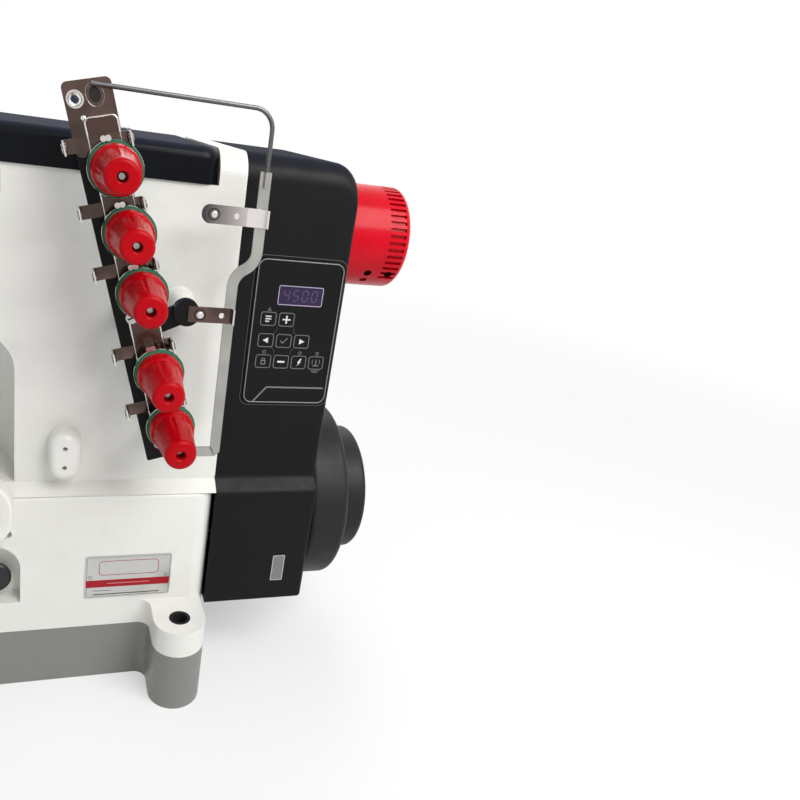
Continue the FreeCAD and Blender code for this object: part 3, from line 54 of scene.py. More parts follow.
# A node tree, with short ways to add nodes and to link or set their sockets.
class Graph:
    def __init__(self, tree):
        self.tree = tree

    def add(self, kind, inputs=None, **settings):
        node = self.tree.nodes.new(kind)
        for key, value in settings.items():
            setattr(node, key, value)
        for key, value in (inputs or {}).items():
            self.join(value, node.inputs[key])
        return node

    def join(self, value, socket):
        if isinstance(value, bpy.types.NodeSocket):
            self.tree.links.new(value, socket)
        else:
            socket.default_value = value

    # value between low and high, stretched to run from lowest to highest
    def spread(self, value, low, high, lowest=0.0, highest=1.0):
        return self.add("ShaderNodeMapRange", {"Value": value, "From Min": low, "From Max": high,
                                               "To Min": lowest, "To Max": highest}).outputs["Result"]

    def sum(self, first, second, operation="ADD"):
        return self.add("ShaderNodeMath", {0: first, 1: second}, operation=operation).outputs[0]

    def times(self, first, second):
        return self.sum(first, second, "MULTIPLY")

    # 1 for rays from the camera, off a mirror or through glass, and 0 for the others
    def directRays(self):
        seen = self.add("ShaderNodeLightPath").outputs
        bent = self.sum(seen["Is Glossy Ray"], seen["Is Transmission Ray"], "MAXIMUM")
        return self.sum(seen["Is Camera Ray"], bent, "MAXIMUM")


# One Principled surface on Object coordinates, with its colour, roughness and bump worked out from noises.
class Finish(Graph):
    def __init__(self, name, colour, roughness, metallic=0.0):
        self.material = bpy.data.materials.new(name)
        self.material.use_nodes = True
        super().__init__(self.material.node_tree)
        self.shader = self.tree.nodes["Principled BSDF"]
        self.coordinates = self.add("ShaderNodeTexCoord")
        self.where = self.coordinates.outputs["Object"]
        self.colour((*colour, 1)).set(Roughness=roughness, Metallic=metallic)

    def set(self, **sockets):
        for key, value in sockets.items():
            self.join(value, self.shader.inputs[key])
        return self

    def colour(self, value):
        return self.set(**{"Base Color": value})

    # a noise from 0 to 1 at so many waves in a metre, stretched along an axis if asked
    def noise(self, scale, detail=3.0, stretch=None, rough=0.55):
        where = self.where
        if stretch:
            where = self.add("ShaderNodeMapping", {"Vector": where, "Scale": stretch}).outputs[0]
        return self.add("ShaderNodeTexNoise", {"Vector": where, "Scale": scale, "Detail": detail,
                                               "Roughness": rough}).outputs["Fac"]

    # between low and high, by a noise
    def mottled(self, low, high, scale, stretch=None):
        return self.spread(self.noise(scale, 4, stretch), 0.3, 0.7, low, high)

    # the first colour turning into the second by amount
    def blend(self, amount, first, second):
        node = self.add("ShaderNodeMix", data_type="RGBA")
        self.join(amount, node.inputs["Factor"])
        for value, key in ((first, "A"), (second, "B")):
            self.join((*value, 1) if isinstance(value, tuple) else value, node.inputs[key])
        return node.outputs["Result"]

    # one coordinate of the place, in metres, or how far the surface faces along that axis, from -1 to 1
    def axis(self, letter, output="Object"):
        return self.add("ShaderNodeSeparateXYZ", {0: self.coordinates.outputs[output]}).outputs[letter]

    def facing(self, letter):
        return self.axis(letter, "Normal")

    def bump(self, height, strength, distance=0.001):
        node = self.add("ShaderNodeBump", {"Height": height, "Strength": strength, "Distance": distance})
        return self.set(Normal=node.outputs[0])


# Sprayed enamel on a casting: orange peel, slow tonal drift and duller, darker patches where hands rub.
def paint(name, colour, roughness, coat, grain, worn):
    f = Finish(name, colour, roughness)
    drift = f.spread(f.noise(9, 4), 0.3, 0.7)
    rubbed = f.spread(f.noise(42, 6, rough=0.65), 0.52, 0.78)
    toned = f.blend(drift, colour, tuple(c * 0.95 for c in colour))
    f.colour(f.blend(f.times(rubbed, 0.35), toned, worn))
    f.set(Roughness=f.spread(f.noise(160, 5), 0.3, 0.75, roughness * 0.8, roughness * 1.3))
    f.set(**{"Coat Weight": coat, "Coat Roughness": 0.12})
    peel = f.sum(f.times(f.noise(grain, 2), 0.35), f.noise(grain / 14, 3))
    return f.bump(peel, 0.22, 0.0006).material


# Moulded plastic: a fine leathered grain, faint flow marks and slightly paler streaks.
def plastic(name, colour, roughness, grain, depth, specular=0.5):
    f = Finish(name, colour, roughness)
    flow = f.spread(f.noise(14, 3), 0.35, 0.7)
    pale = tuple(min(1, c * 1.5 + 0.004) for c in colour)
    f.set(**{"Base Color": f.blend(f.times(flow, 0.3), colour, pale), "Specular IOR Level": specular})
    f.set(Roughness=f.mottled(roughness * 0.88, roughness * 1.12, 70))
    return f.bump(f.noise(grain, 3), depth, 0.0004).material


# Steel with its grinding lines along one axis, stains and small scratches.
def metal(name, colour, roughness, stretch, marks):
    f = Finish(name, colour, roughness, 1.0)
    lines = f.noise(900, 2, stretch=stretch)
    stain = f.spread(f.noise(60, 5, rough=0.7), 0.5, 0.8)
    f.colour(f.blend(f.times(stain, marks), colour, tuple(c * 0.55 for c in colour)))
    f.set(Roughness=f.sum(f.spread(lines, 0.3, 0.7, roughness * 0.8, roughness * 1.25), f.times(stain, 0.12)))
    return f.bump(lines, 0.08, 0.0003).material


# The low ledge lies below top, in metres; its upward faces take this pale grey as a painted reflection.
coverLedge = {"top": 0.2, "paintedSheen": (0.115, 0.118, 0.12), "dull": 0.6}


# A leathered cover: faint flow marks, and faces that look up are duller and carry a painted reflection,
# mottled by specks: bluish on the high faces and a pale grey of its own on the low ledge.
def coverBlack(name, colour, paintedSheen, roughness, grain, depth, specular):
    f = Finish(name, colour, roughness)
    up = f.spread(f.facing("Z"), 0.5, 1.0)
    low = f.spread(f.axis("Z"), coverLedge["top"], coverLedge["top"] - 0.001)
    specks = f.spread(f.noise(55, 6, rough=0.7), 0.42, 0.75)
    flow = f.spread(f.noise(8, 3), 0.35, 0.7)
    base = f.blend(f.times(flow, 0.5), colour, tuple(c * 1.6 + 0.001 for c in colour))
    # the upward faces' painted reflection: bluish above the ledge, pale grey on it
    sheenColour = f.blend(low, paintedSheen, coverLedge["paintedSheen"])
    f.set(**{"Base Color": f.blend(f.times(up, f.sum(f.times(specks, 0.6), 0.4)), base, sheenColour),
             "Specular IOR Level": specular})
    satin = f.mottled(roughness * 0.88, roughness * 1.12, 70)
    f.set(Roughness=f.sum(satin, f.times(up, coverLedge["dull"])))
    return f.bump(f.noise(grain, 3), depth, 0.0004).material


# face and dark are the painted brown reflection on the plates' flats, edge the silver of their rims
guideSteel = {"face": (0.15, 0.094, 0.080), "dark": (0.070, 0.050, 0.044), "edge": (0.62, 0.60, 0.57)}


# Mirror-bright thread plates: their flats have a painted brown reflection of a workroom, and rims and pins
# stay silver. A flat looks along Y and lies behind the plane of Y given, or looks along X.
def guidePlates(name, plane, face=guideSteel["face"]):
    f = Finish(name, face, 0.17, 1.0)
    front = f.spread(f.sum(f.facing("Y"), 0, "ABSOLUTE"), 0.93, 0.97)
    sideways = f.spread(f.sum(f.facing("X"), 0, "ABSOLUTE"), 0.94, 0.96)
    behind = f.spread(f.axis("Y"), plane - 0.0002, plane)
    reflectedBrown = f.blend(f.spread(f.noise(45, 2), 0.35, 0.65), guideSteel["dark"], face)
    flat = f.sum(f.times(front, behind), sideways, "MAXIMUM")
    f.colour(f.blend(flat, guideSteel["edge"], reflectedBrown))
    f.set(Roughness=f.mottled(0.12, 0.24, 200))
    return f.bump(f.noise(900, 2, stretch=(1, 1, 0.05)), 0.05, 0.0002).material


# where along X the upper guide's painted reflection turns from dark to light, and its two colours
upperGuideReflection = {"left": 0.158, "right": 0.185, "dark": (0.055, 0.057, 0.056), "light": (0.66, 0.60, 0.58)}


# The upper guide has a painted reflection: dark at its round end and pale at the rail, by its place along X.
def upperGuideSteel(name):
    f = Finish(name, upperGuideReflection["light"], 0.2, 1.0)
    along = f.sum(f.axis("X"), f.times(f.noise(60, 2), 0.006))
    reflectionShare = f.spread(along, upperGuideReflection["left"] + 0.003, upperGuideReflection["right"] + 0.003)
    f.colour(f.blend(reflectionShare, upperGuideReflection["dark"], upperGuideReflection["light"]))
    f.set(Roughness=f.mottled(0.15, 0.28, 200))
    return f.bump(f.noise(900, 2, stretch=(0.05, 1, 1)), 0.06, 0.0002).material


rail = {"strip": (0.42, 0.415, 0.39), "wire": (0.12, 0.12, 0.125), "wireFrom": 0.3435}


# The rail's flat strip is satin grey, and its round wire above is darker.
def railSteel(name):
    f = Finish(name, rail["strip"], 0.36, 1.0)
    above = f.spread(f.axis("Z"), rail["wireFrom"], rail["wireFrom"] + 0.001)
    cloud = f.spread(f.noise(35, 3), 0.35, 0.7)
    strip = f.blend(cloud, rail["strip"], tuple(c * 0.75 for c in rail["strip"]))
    f.colour(f.blend(above, strip, rail["wire"]))
    f.set(Roughness=f.mottled(0.28, 0.44, 260, (1, 1, 0.1)))
    return f.bump(f.noise(1200, 2), 0.1, 0.0002).material


# groove is the painted shade colour at the bottom of the grip grooves
wheel = {"red": (0.60, 0.0, 0.012), "groove": (0.36, 0.0, 0.005), "centre": (-0.0108, 0.304),
         "deep": (0.0325, 0.0342), "wall": 0.0312, "grip": (0.2945, 0.3074)}


# The handwheel's moulded red has painted shade down in its grip grooves, found by the distance from its axis.
def wheelRed(name):
    f = Finish(name, wheel["red"], 0.26)
    across = f.sum(f.axis("Y"), -wheel["centre"][0])
    up = f.sum(f.axis("Z"), -wheel["centre"][1])
    out = f.sum(f.sum(f.times(across, across), f.times(up, up)), 0.5, "POWER")
    grooveShade = f.times(f.spread(out, wheel["deep"][1], wheel["deep"][0]),
                   f.spread(out, wheel["wall"], wheel["wall"] + 0.0003))
    grip = f.times(f.spread(f.axis("X"), wheel["grip"][0], wheel["grip"][0] + 0.0004),
                   f.spread(f.axis("X"), wheel["grip"][1], wheel["grip"][1] - 0.0004))
    cloud = f.spread(f.noise(25, 3), 0.3, 0.7)
    toned = f.blend(cloud, wheel["red"], tuple(c * 0.86 for c in wheel["red"]))
    f.set(**{"Base Color": f.blend(f.times(grooveShade, grip), toned, wheel["groove"]), "Specular IOR Level": 0.12,
             "Coat Weight": 0.07, "Coat Roughness": 0.08})
    f.set(Roughness=f.mottled(0.22, 0.33, 90))
    return f.bump(f.noise(700, 2), 0.06, 0.0004).material


finishes = {
    "white_paint": paint("whiteEnamel", (0.76, 0.755, 0.715), 0.34, 0.25, 900, (0.60, 0.59, 0.54)),
    "grey_paint": paint("greyEnamel", (0.205, 0.202, 0.188), 0.45, 0.1, 700, (0.15, 0.148, 0.135)),
    # each black cover's third colour is the bluish painted reflection on its faces that look up
    "black_cover": coverBlack("satinBlackCover", (0.0040, 0.0041, 0.0043), (0.007, 0.010, 0.026), 0.42, 2600,
                              0.25, 0.13),
    "gloss_black": coverBlack("topCoverBlack", (0.0022, 0.0027, 0.0045), (0.005, 0.009, 0.032), 0.27, 900,
                              0.05, 0.10),
    "motor_plastic": plastic("motorPlastic", (0.010, 0.010, 0.011), 0.46, 1800, 0.3, 0.22),
    "red_plastic": plastic("knobRed", (0.375, 0.0, 0.004), 0.28, 1200, 0.06, 0.10),
    "polished_steel": metal("polishedSteel", (0.46, 0.455, 0.44), 0.16, (1, 1, 0.05), 0.35),
    "machined_steel": metal("machinedSteel", (0.36, 0.355, 0.34), 0.3, (0.05, 1, 1), 0.4),
    "bronze": metal("bronze", (0.55, 0.36, 0.17), 0.32, (1, 0.05, 1), 0.4),
    "rubber": plastic("rubber", (0.012, 0.012, 0.012), 0.75, 1500, 0.4, 0.2),
    "display_lens": plastic("displayLens", (0.021, 0.012, 0.042), 0.14, 400, 0.01, 0.25),
    "plate_metal": metal("plateMetal", (0.58, 0.58, 0.565), 0.34, (0.04, 1, 1), 0.2),
    "label_film": plastic("labelFilm", (0.15, 0.16, 0.155), 0.4, 900, 0.1),
    "green_felt": plastic("greenFelt", (0.045, 0.17, 0.10), 0.85, 3000, 0.6, 0.1),
    "button_black": plastic("buttonBlack", (0.014, 0.014, 0.015), 0.35, 1500, 0.15, 0.35),
}
ownFinish = {
    "handwheel": wheelRed("wheelRed"),
    "guide_rail": railSteel("railSteel"),
    "upper_guide": upperGuideSteel("upperGuideSteel"),
    "lower_guide": guidePlates("lowerGuideSteel", -0.1028),
    "thread_guides": guidePlates("threadGuideSteel", -0.1022),
    "top_guide_plate": guidePlates("topPlateSteel", -0.1022),
    "tension_discs": metal("discSteel", (0.72, 0.72, 0.70), 0.14, (1, 0.05, 1), 0.2),
    "tension_springs": metal("springSteel", (0.42, 0.42, 0.41), 0.22, (1, 0.05, 1), 0.2),
    "tension_posts": metal("postSteel", (0.34, 0.33, 0.32), 0.25, (1, 0.05, 1), 0.3),
    "cloth_plate": metal("clothPlateSteel", (0.56, 0.555, 0.535), 0.27, (0.03, 1, 1), 0.25),
    "needle_plate": metal("needlePlateSteel", (0.64, 0.635, 0.62), 0.14, (0.03, 1, 1), 0.15),
    "presser_foot": metal("presserSteel", (0.60, 0.595, 0.58), 0.2, (1, 0.04, 1), 0.25),
    "needles": metal("needleSteel", (0.70, 0.70, 0.69), 0.1, (1, 1, 0.03), 0.1),
    "takeup_disc": metal("takeupSteel", (0.50, 0.495, 0.48), 0.2, (1, 0.05, 1), 0.25),
}
for name, node in nodes.items():
    node.data.materials.clear()
    node.data.materials.append(ownFinish.get(name) or finishes[slotOf[name]])
print("finishes set on", len(nodes), "nodes")


# Faces between neighbouring rows and columns of a grid; a wrapped side joins its last line to its first.
def quads(rows, columns, wrapRows=False, wrapColumns=False):
    r, c = np.meshgrid(np.arange(rows if wrapRows else rows - 1),
                       np.arange(columns if wrapColumns else columns - 1), indexing="ij")
    nextRow, nextColumn = (r + 1) % rows, (c + 1) % columns
    return np.stack([r * columns + c, r * columns + nextColumn,
                     nextRow * columns + nextColumn, nextRow * columns + c], -1).reshape(-1, 4).tolist()


# Faces of a tube whose rows are closed loops, with its first and last rows filled in.
def capped(rows, columns):
    ends = [list(range(columns)), list(range((rows - 1) * columns, rows * columns))[::-1]]
    return quads(rows, columns, False, True) + ends


# One list of corners and one of faces from many.
def together(parts):
    corners = np.concatenate([c.reshape(-1, 3) for c, _ in parts])
    starts = np.cumsum([0] + [c.reshape(-1, 3).shape[0] for c, _ in parts[:-1]])
    return corners, [[i + int(s) for i in face] for s, (_, faces) in zip(starts, parts) for face in faces]


# Parts in millimetres become one mesh in metres, riding on a body. Its faces are turned outwards, and edges
# sharper than 35 degrees stay sharp.
def makePiece(name, parts, finish, body="machine"):
    corners, faces = together(parts)
    mesh = bpy.data.meshes.new(name)
    mesh.from_pydata((corners * mm).tolist(), [], faces)
    build = bmesh.new()
    build.from_mesh(mesh)
    bmesh.ops.recalc_face_normals(build, faces=build.faces)
    build.to_mesh(mesh)
    build.free()
    mesh.polygons.foreach_set("use_smooth", [True] * len(mesh.polygons))
    mesh.set_sharp_from_angle(angle=math.radians(35))
    mesh.materials.append(finish)
    thing = bpy.data.objects.new(name, mesh)
    bpy.context.scene.collection.objects.link(thing)
    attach(thing, body)
    return thing


def boxOf(node):   # a node's lowest and highest corners, in millimetres
    low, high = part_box(node)
    return np.array(low) / mm, np.array(high) / mm


# A rectangle with quarter circles at its corners, as points in a plane, anticlockwise.
def roundedLoop(centre, wide, tall, corner, steps=7):
    turn = np.linspace(0, math.pi / 2, steps)
    quarter = np.arange(4)[:, None] * math.pi / 2 + turn[None, :]
    signs = np.array([(1, 1), (-1, 1), (-1, -1), (1, -1)])[:, None, :]
    arms = np.array([wide / 2 - corner, tall / 2 - corner])
    arcs = corner * np.stack([np.cos(quarter), np.sin(quarter)], -1)
    return (np.array(centre) + signs * arms + arcs).reshape(-1, 2)


# A rounded rectangle over the front of a box, moved in on every side by inset.
def frontLoop(low, high, inset, corner, steps=7):
    low, high = np.array(low)[::2], np.array(high)[::2]
    return roundedLoop((low + high) / 2, *(high - low - 2 * inset), corner, steps)


# Points on an arc, between two turns in degrees: the cosine of the turn across and its sine up.
def arc(centre, radius, start, end, steps):
    turn = np.radians(np.linspace(start, end, steps))
    return np.array(centre) + radius * np.stack([np.cos(turn), np.sin(turn)], -1)


# Points round a circle or an upright oval: the cosine of the turn across and its sine up.
def ring(centre, radius, steps=24, tall=None):
    turn = np.linspace(0, 2 * math.pi, steps, endpoint=False)
    return np.array(centre) + np.stack([radius * np.cos(turn), (tall or radius) * np.sin(turn)], -1)


# A strip of a width laid along a line of (x, z) on the plane y = face, standing out by high.
# Each point is moved sideways along the bisector of its two neighbours, by half the width over the cosine of
# half the turn. The section is a rectangle, half an ellipse where domed, or a whole one about the plane.
def band(line, wide, high, face, closed=True, domed=False, whole=False):
    before = np.roll(line, 1, 0) if closed else np.concatenate([line[:1] * 2 - line[1:2], line[:-1]])
    after = np.roll(line, -1, 0) if closed else np.concatenate([line[1:], line[-1:] * 2 - line[-2:-1]])
    into, out = line - before, after - line
    into, out = into / np.linalg.norm(into, axis=1)[:, None], out / np.linalg.norm(out, axis=1)[:, None]
    side = np.stack([-(into + out)[:, 1], (into + out)[:, 0]], -1)
    side = side / np.linalg.norm(side, axis=1)[:, None]
    reach = 1 / np.clip((side * np.stack([-out[:, 1], out[:, 0]], -1)).sum(1), 0.5, 1)
    if domed or whole:
        t = np.linspace(0, 2 * math.pi, 16, endpoint=False) if whole else np.linspace(0, math.pi, 7)
        section = np.stack([np.cos(t), np.sin(t)], -1)
    else:
        section = np.array([(1.0, 0.0), (1.0, 1.0), (-1.0, 1.0), (-1.0, 0.0)])
    flat = line[:, None, :] + side[:, None, :] * reach[:, None, None] * section[None, :, :1] * wide / 2
    deep = np.broadcast_to(face - section[None, :, 1:] * high, flat[..., :1].shape)
    corners = np.concatenate([flat[..., :1], deep, flat[..., 1:]], -1)
    rows, columns = corners.shape[:2]
    return corners, quads(rows, columns, True, True) if closed else capped(rows, columns)


# A flat shape with the given outline of (x, z), standing out by high from the plane y = face.
def slab(outline, high, face):
    n = len(outline)
    front = np.stack([outline[:, 0], np.full(n, face - high), outline[:, 1]], -1)
    back = np.stack([outline[:, 0], np.full(n, face), outline[:, 1]], -1)
    return np.stack([front, back]), capped(2, n)


# Two directions at right angles to one and to each other.
def crossways(along):
    along = np.array(along, float)
    first = np.cross(along, (0, 0, 1.0) if abs(along[2]) < 0.9 else (1.0, 0, 0))
    first /= np.linalg.norm(first)
    return along, first, np.cross(along, first)


# An axis, even turns round it and the unit arrow out from it at each turn.
def spokes(along, steps):
    along, first, second = crossways(along)
    turn = np.linspace(0, 2 * math.pi, steps, endpoint=False)
    return along, turn, np.cos(turn)[:, None] * first + np.sin(turn)[:, None] * second


# A profile of (distance along, radius) turned about an axis through centre: rows go along, columns round.
def turned(profile, centre, along, steps=32):
    along, turn, spoke = spokes(along, steps)
    profile = np.array(profile, float)
    corners = np.array(centre) + profile[:, None, :1] * along + profile[:, None, 1:] * spoke[None]
    return corners, capped(len(profile), steps)


# A closed profile of (distance along, radius) turned about an axis, so that nothing fills its middle. Rows
# with a depth have round grooves: the radius is the smaller of the profile's and, at a turn away from the
# groove's middle, middle * cos(away) - sqrt(groove ** 2 - (middle * sin(away)) ** 2).
def turnedRing(profile, centre, along, steps, depths=None, groove=4.0, count=9):
    along, turn, spoke = spokes(along, steps)
    profile = np.array(profile, float)
    radius = np.repeat(profile[:, 1:], steps, 1)
    if depths is not None:
        share = 2 * math.pi / count
        away = (turn + share / 2) % share - share / 2
        middle = radius + groove - np.array(depths)[:, None]
        inside = np.clip(groove ** 2 - (middle * np.sin(away)) ** 2, 0, None)
        radius = np.minimum(radius, np.where(inside > 0, middle * np.cos(away) - np.sqrt(inside), radius))
    corners = np.array(centre) + profile[:, :1, None] * along + radius[..., None] * spoke[None]
    return corners, quads(len(profile), steps, True, True)


# A flat-topped dome: a short wall, then a quarter ellipse in to three tenths of the radius.
def dome(centre, along, radius, rise):
    t = np.linspace(0, math.pi / 2, 6)
    wall = rise * 0.35
    curve = np.stack([wall + (rise - wall) * np.sin(t), radius * (0.3 + 0.7 * np.cos(t))], -1)
    return turned(np.concatenate([[(-0.2, radius)], curve]), centre, along)


# A bar across a screw head, lying along the head's slot: a box section swept from end to end.
def slotBar(centre, along, radius, rise, turn):
    along, first, second = crossways(along)
    direction = math.cos(turn) * first + math.sin(turn) * second
    across = np.cross(along, direction)
    section = np.array([(-1, rise - 0.3), (1, rise - 0.3), (1, rise + 0.03), (-1, rise + 0.03)])
    middle = np.array(centre) + section[:, :1] * 0.14 * radius * across + section[:, 1:] * along
    ends = np.array([-0.72, 0.72]) * radius
    corners = middle[None] + ends[:, None, None] * direction
    return corners, capped(2, 4)


# A socket head: an outer wall with a rounded edge, then down inside a six-sided hole.
def socketHead(centre, along, radius, rise):
    outer = turned([(-0.2, radius), (rise - 0.5, radius), (rise, radius - 0.5), (rise, radius * 0.55),
                    (rise * 0.45, radius * 0.52)], centre, along)
    return outer, turned([(rise * 0.3, radius * 0.5), (rise + 0.02, radius * 0.5)], centre, along, 6)


# The drive cover: one loop round it for each place along X. Above the corner's middle its top comes down by
# radius - sqrt(radius ** 2 - along ** 2), and its other sides come in the same way by a smaller radius.
driveCover = {"left": 186.0, "right": 257.0, "back": 62.0, "front": -73.8, "step": -82.5, "ledge": 146.5,
              "bed": 140.0, "low": 54.0, "high": 352.0, "shoulder": 14.0, "endRound": 15.0, "edge": 3.0,
              "wall": 3.0, "soft": 2.0}


def coverLoop(x, inset):
    c = driveCover

    def drawnIn(radius):
        along = max(0.0, x - (c["right"] - radius)) if radius > inset else 0.0
        reach = radius - inset
        return inset + (reach - math.sqrt(max(0.0, reach ** 2 - along ** 2)) if reach > 0 else 0)
    down, side = drawnIn(c["endRound"]), drawnIn(c["edge"])
    back, front, step = c["back"] - side, c["front"] + side, c["step"] + side
    high, low, bend = c["high"] - down, c["low"] + side, c["shoulder"] - inset
    backArc = arc((back - bend, high - bend), bend, 0, 90, 9)
    frontArc = arc((front + bend, high - bend), bend, 90, 180, 9)
    soft = c["soft"]   # the ledge's upper and lower bends take shares of it
    ledge = [(front, c["ledge"] + soft * 1.6), (front - 0.2 * soft, c["ledge"] + 0.5 * soft),
             (front - 0.9 * soft, c["ledge"] - 0.55 * soft), (step + 0.9 * soft, c["bed"] + 0.55 * soft),
             (step + 0.2 * soft, c["bed"] - 0.3 * soft), (step, c["bed"] - 1.6 * soft), (step, low)]
    loop = np.concatenate([[(back, low)], backArc, frontArc, ledge])
    return np.concatenate([np.full((len(loop), 1), x), loop], 1)


ease = np.linspace(0, math.pi / 2, 9)
outerPlaces = np.concatenate([[driveCover["left"]],
                              driveCover["right"] - driveCover["endRound"] * (1 - np.sin(ease[:-2])),
                              driveCover["right"] - driveCover["edge"] * (1 - np.sin(ease[2:]))])
outerPlaces = np.unique(outerPlaces.round(4))
innerPlaces = outerPlaces[outerPlaces < driveCover["right"] - driveCover["wall"]][::-1]
shell = np.stack([coverLoop(x, driveCover["wall"]) for x in innerPlaces]
                 + [coverLoop(x, 0.0) for x in outerPlaces])
coverPiece = makePiece("driveCover", [(shell, capped(*shell.shape[:2]))], finishes["black_cover"])
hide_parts("side_cover")
print("drive cover made")

beadSilver = plastic("panelBead", (0.155, 0.155, 0.15), 0.3, 900, 0.05)
printGrey = plastic("panelPrint", (0.115, 0.115, 0.112), 0.45, 900, 0.05)
printFaint = plastic("panelPrintFaint", (0.045, 0.045, 0.045), 0.5, 900, 0.05)
printBright = plastic("panelPrintBright", (0.55, 0.55, 0.53), 0.45, 900, 0.05)
lilac = plastic("displayBorder", (0.33, 0.28, 0.40), 0.4, 900, 0.05)
segmentLit = plastic("displaySegments", (0.052, 0.034, 0.105), 0.35, 900, 0.03)

# The control panel: a bead round it, key outlines, plain symbols and marks, all laid on its front.
panel = {"bead": 0.8, "beadRise": 0.3, "beadInset": 0.6, "corner": 5.0, "outerGap": 1.7, "outerWide": 0.45,
         "outerRise": 0.12, "thick": 1.0, "keyFirst": (10.5, -37.2), "keyPitch": (11.8, 13.8),
         "key": (9.7, 8.4), "keyCorner": 1.5, "line": 0.5, "keysInRow": (2, 3, 4), "ink": 0.06,
         "lampRadius": 0.95, "lampAbove": 6.2, "lampLine": 0.45,
         "underline": ((6.6, 0.6), (14.9, 10.9), (53.6, 10.9)), "underlineWide": 1.0}

low, high = boxOf("control_panel")
face = low[1]
corner = np.array([low[0], high[2]])   # its top left corner, seen from the front
ink = panel["ink"]

beadLine = frontLoop(low, high, panel["beadInset"], panel["corner"])
makePiece("panelBead", [band(beadLine, panel["bead"], panel["beadRise"], face, domed=True)], beadSilver)
# a faint grey line round the panel: the painted highlight on the cover's step there
stepHighlight = frontLoop(low, high, -panel["outerGap"], panel["corner"] + 1)
makePiece("panelStepHighlight", [band(stepHighlight, panel["outerWide"], panel["outerRise"], face + panel["thick"],
                                  domed=True)], printFaint)


# The middle of a key, counted in rows down and columns to the right of the first.
def keyCentre(row, column):
    return corner + np.array([panel["keyFirst"][0] + column * panel["keyPitch"][0],
                              panel["keyFirst"][1] - row * panel["keyPitch"][1]])


places = [keyCentre(row, column) for row, count in enumerate(panel["keysInRow"]) for column in range(count)]
outlines = [band(roundedLoop(p, *panel["key"], panel["keyCorner"]), panel["line"], ink, face) for p in places]
outlines += [band(ring(keyCentre(2, column) + (0, panel["lampAbove"]), panel["lampRadius"]),
                  panel["lampLine"], ink, face) for column in (0, 2, 3)]
makePiece("panelKeyOutlines", outlines, printGrey)


# A filled mark, or a drawn line, whose points are measured from a key's middle.
def symbol(row, column, points):
    return slab(keyCentre(row, column) + np.array(points, float), ink, face)


def stroke(row, column, points, wide=0.5, closed=False):
    return band(keyCentre(row, column) + np.array(points, float), wide, ink, face, closed)


bars = [symbol(0, 0, [(-1.9, z - 0.4), (end, z - 0.4), (end, z + 0.4), (-1.9, z + 0.4)])
        for z, end in ((1.6, 1.9), (0.0, 1.9), (-1.6, 0.6))]
cross = [(-2.6, -0.45), (-0.5, -0.45), (-0.5, -2.6), (0.5, -2.6), (0.5, -0.45), (2.6, -0.45),
         (2.6, 0.45), (0.5, 0.45), (0.5, 2.6), (-0.5, 2.6), (-0.5, 0.45), (-2.6, 0.45)]
bolt = [(-0.9, -0.4), (0.9, 2.4), (1.9, 2.4), (0.8, 0.5), (1.7, 0.5), (-0.9, -2.5), (-0.1, -0.4)]
bright = bars + [
    symbol(0, 1, cross),
    symbol(1, 0, [(-2.0, 0), (1.5, -1.8), (1.5, 1.8)]),
    symbol(1, 2, [(2.0, 0), (-1.5, 1.8), (-1.5, -1.8)]),
    symbol(2, 1, [(-2.4, -0.6), (2.4, -0.6), (2.4, 0.6), (-2.4, 0.6)]),
    symbol(2, 2, bolt),
]
makePiece("panelSymbols", bright, printBright)

thin = [
    stroke(1, 1, [(-2.2, 0.2), (-0.7, -1.5), (2.3, 1.9)]),
    stroke(2, 0, [(-1.3, -1.9), (1.3, -1.9), (1.3, 0.4), (-1.3, 0.4)], closed=True),
    stroke(2, 0, [(-0.8, 0.6), (-0.8, 1.9), (0.8, 1.9), (0.8, 0.6)], 0.4),
    stroke(2, 3, [(-2.0, -1.9), (2.0, -1.9)], 0.6),
    stroke(2, 3, [(0, -1.7), (0, 2.2)], 0.5),
    stroke(2, 3, [(-2.4, 2.2), (-2.4, -0.8)], 0.35),
    stroke(2, 3, [(2.4, 2.2), (2.4, -0.8)], 0.35),
    band(low[::2] + np.array(panel["underline"]), panel["underlineWide"], ink, face, False),
]
makePiece("panelThinMarks", thin, beadSilver)

half = np.array(panel["key"]) / 2
link = [(half[0] - 0.6, half[1] + 0.2), (half[0] + 1.3, half[1] + 2.0), (half[0] + 1.6, half[1] + 5.2)]
faint = [
    stroke(1, 0, link, 0.3),
    stroke(1, 2, [(-x, z) for x, z in link], 0.3),
    stroke(1, 0, [(x, -z) for x, z in link], 0.3),
    stroke(1, 2, [(-x, -z) for x, z in link], 0.3),
    symbol(0, 0, [(-1.7, half[1] + 0.7), (1.7, half[1] + 0.7), (0, half[1] + 3.6)]),
    symbol(2, 3, [(-3.4, -half[1] - 0.7), (-1.4, -half[1] - 2.6), (1.4, -half[1] - 2.6),
                  (3.4, -half[1] - 0.7)]),
]
makePiece("panelFaintMarks", faint, printFaint)

# The display: a pale border and four plain digits of seven bars each, slanted to the right.
display = {"border": 0.55, "digits": (4, 5, 0, 0), "digitTall": 6.6, "digitWide": 3.3, "pitch": 6.0,
           "segment": 0.75, "slant": 0.12, "gap": 0.25, "corner": 0.8, "rise": 0.03}
segmentsOn = {0: "abcdef", 4: "bcfg", 5: "acdfg"}   # the usual letters, a at the top and g across the middle

low, high = boxOf("display_window")
window = low[1]
middle = (low + high)[::2] / 2
frameLine = frontLoop(low, high, -display["border"] / 2, display["corner"], 3)
makePiece("displayBorder", [band(frameLine, display["border"], ink, face)], lilac)


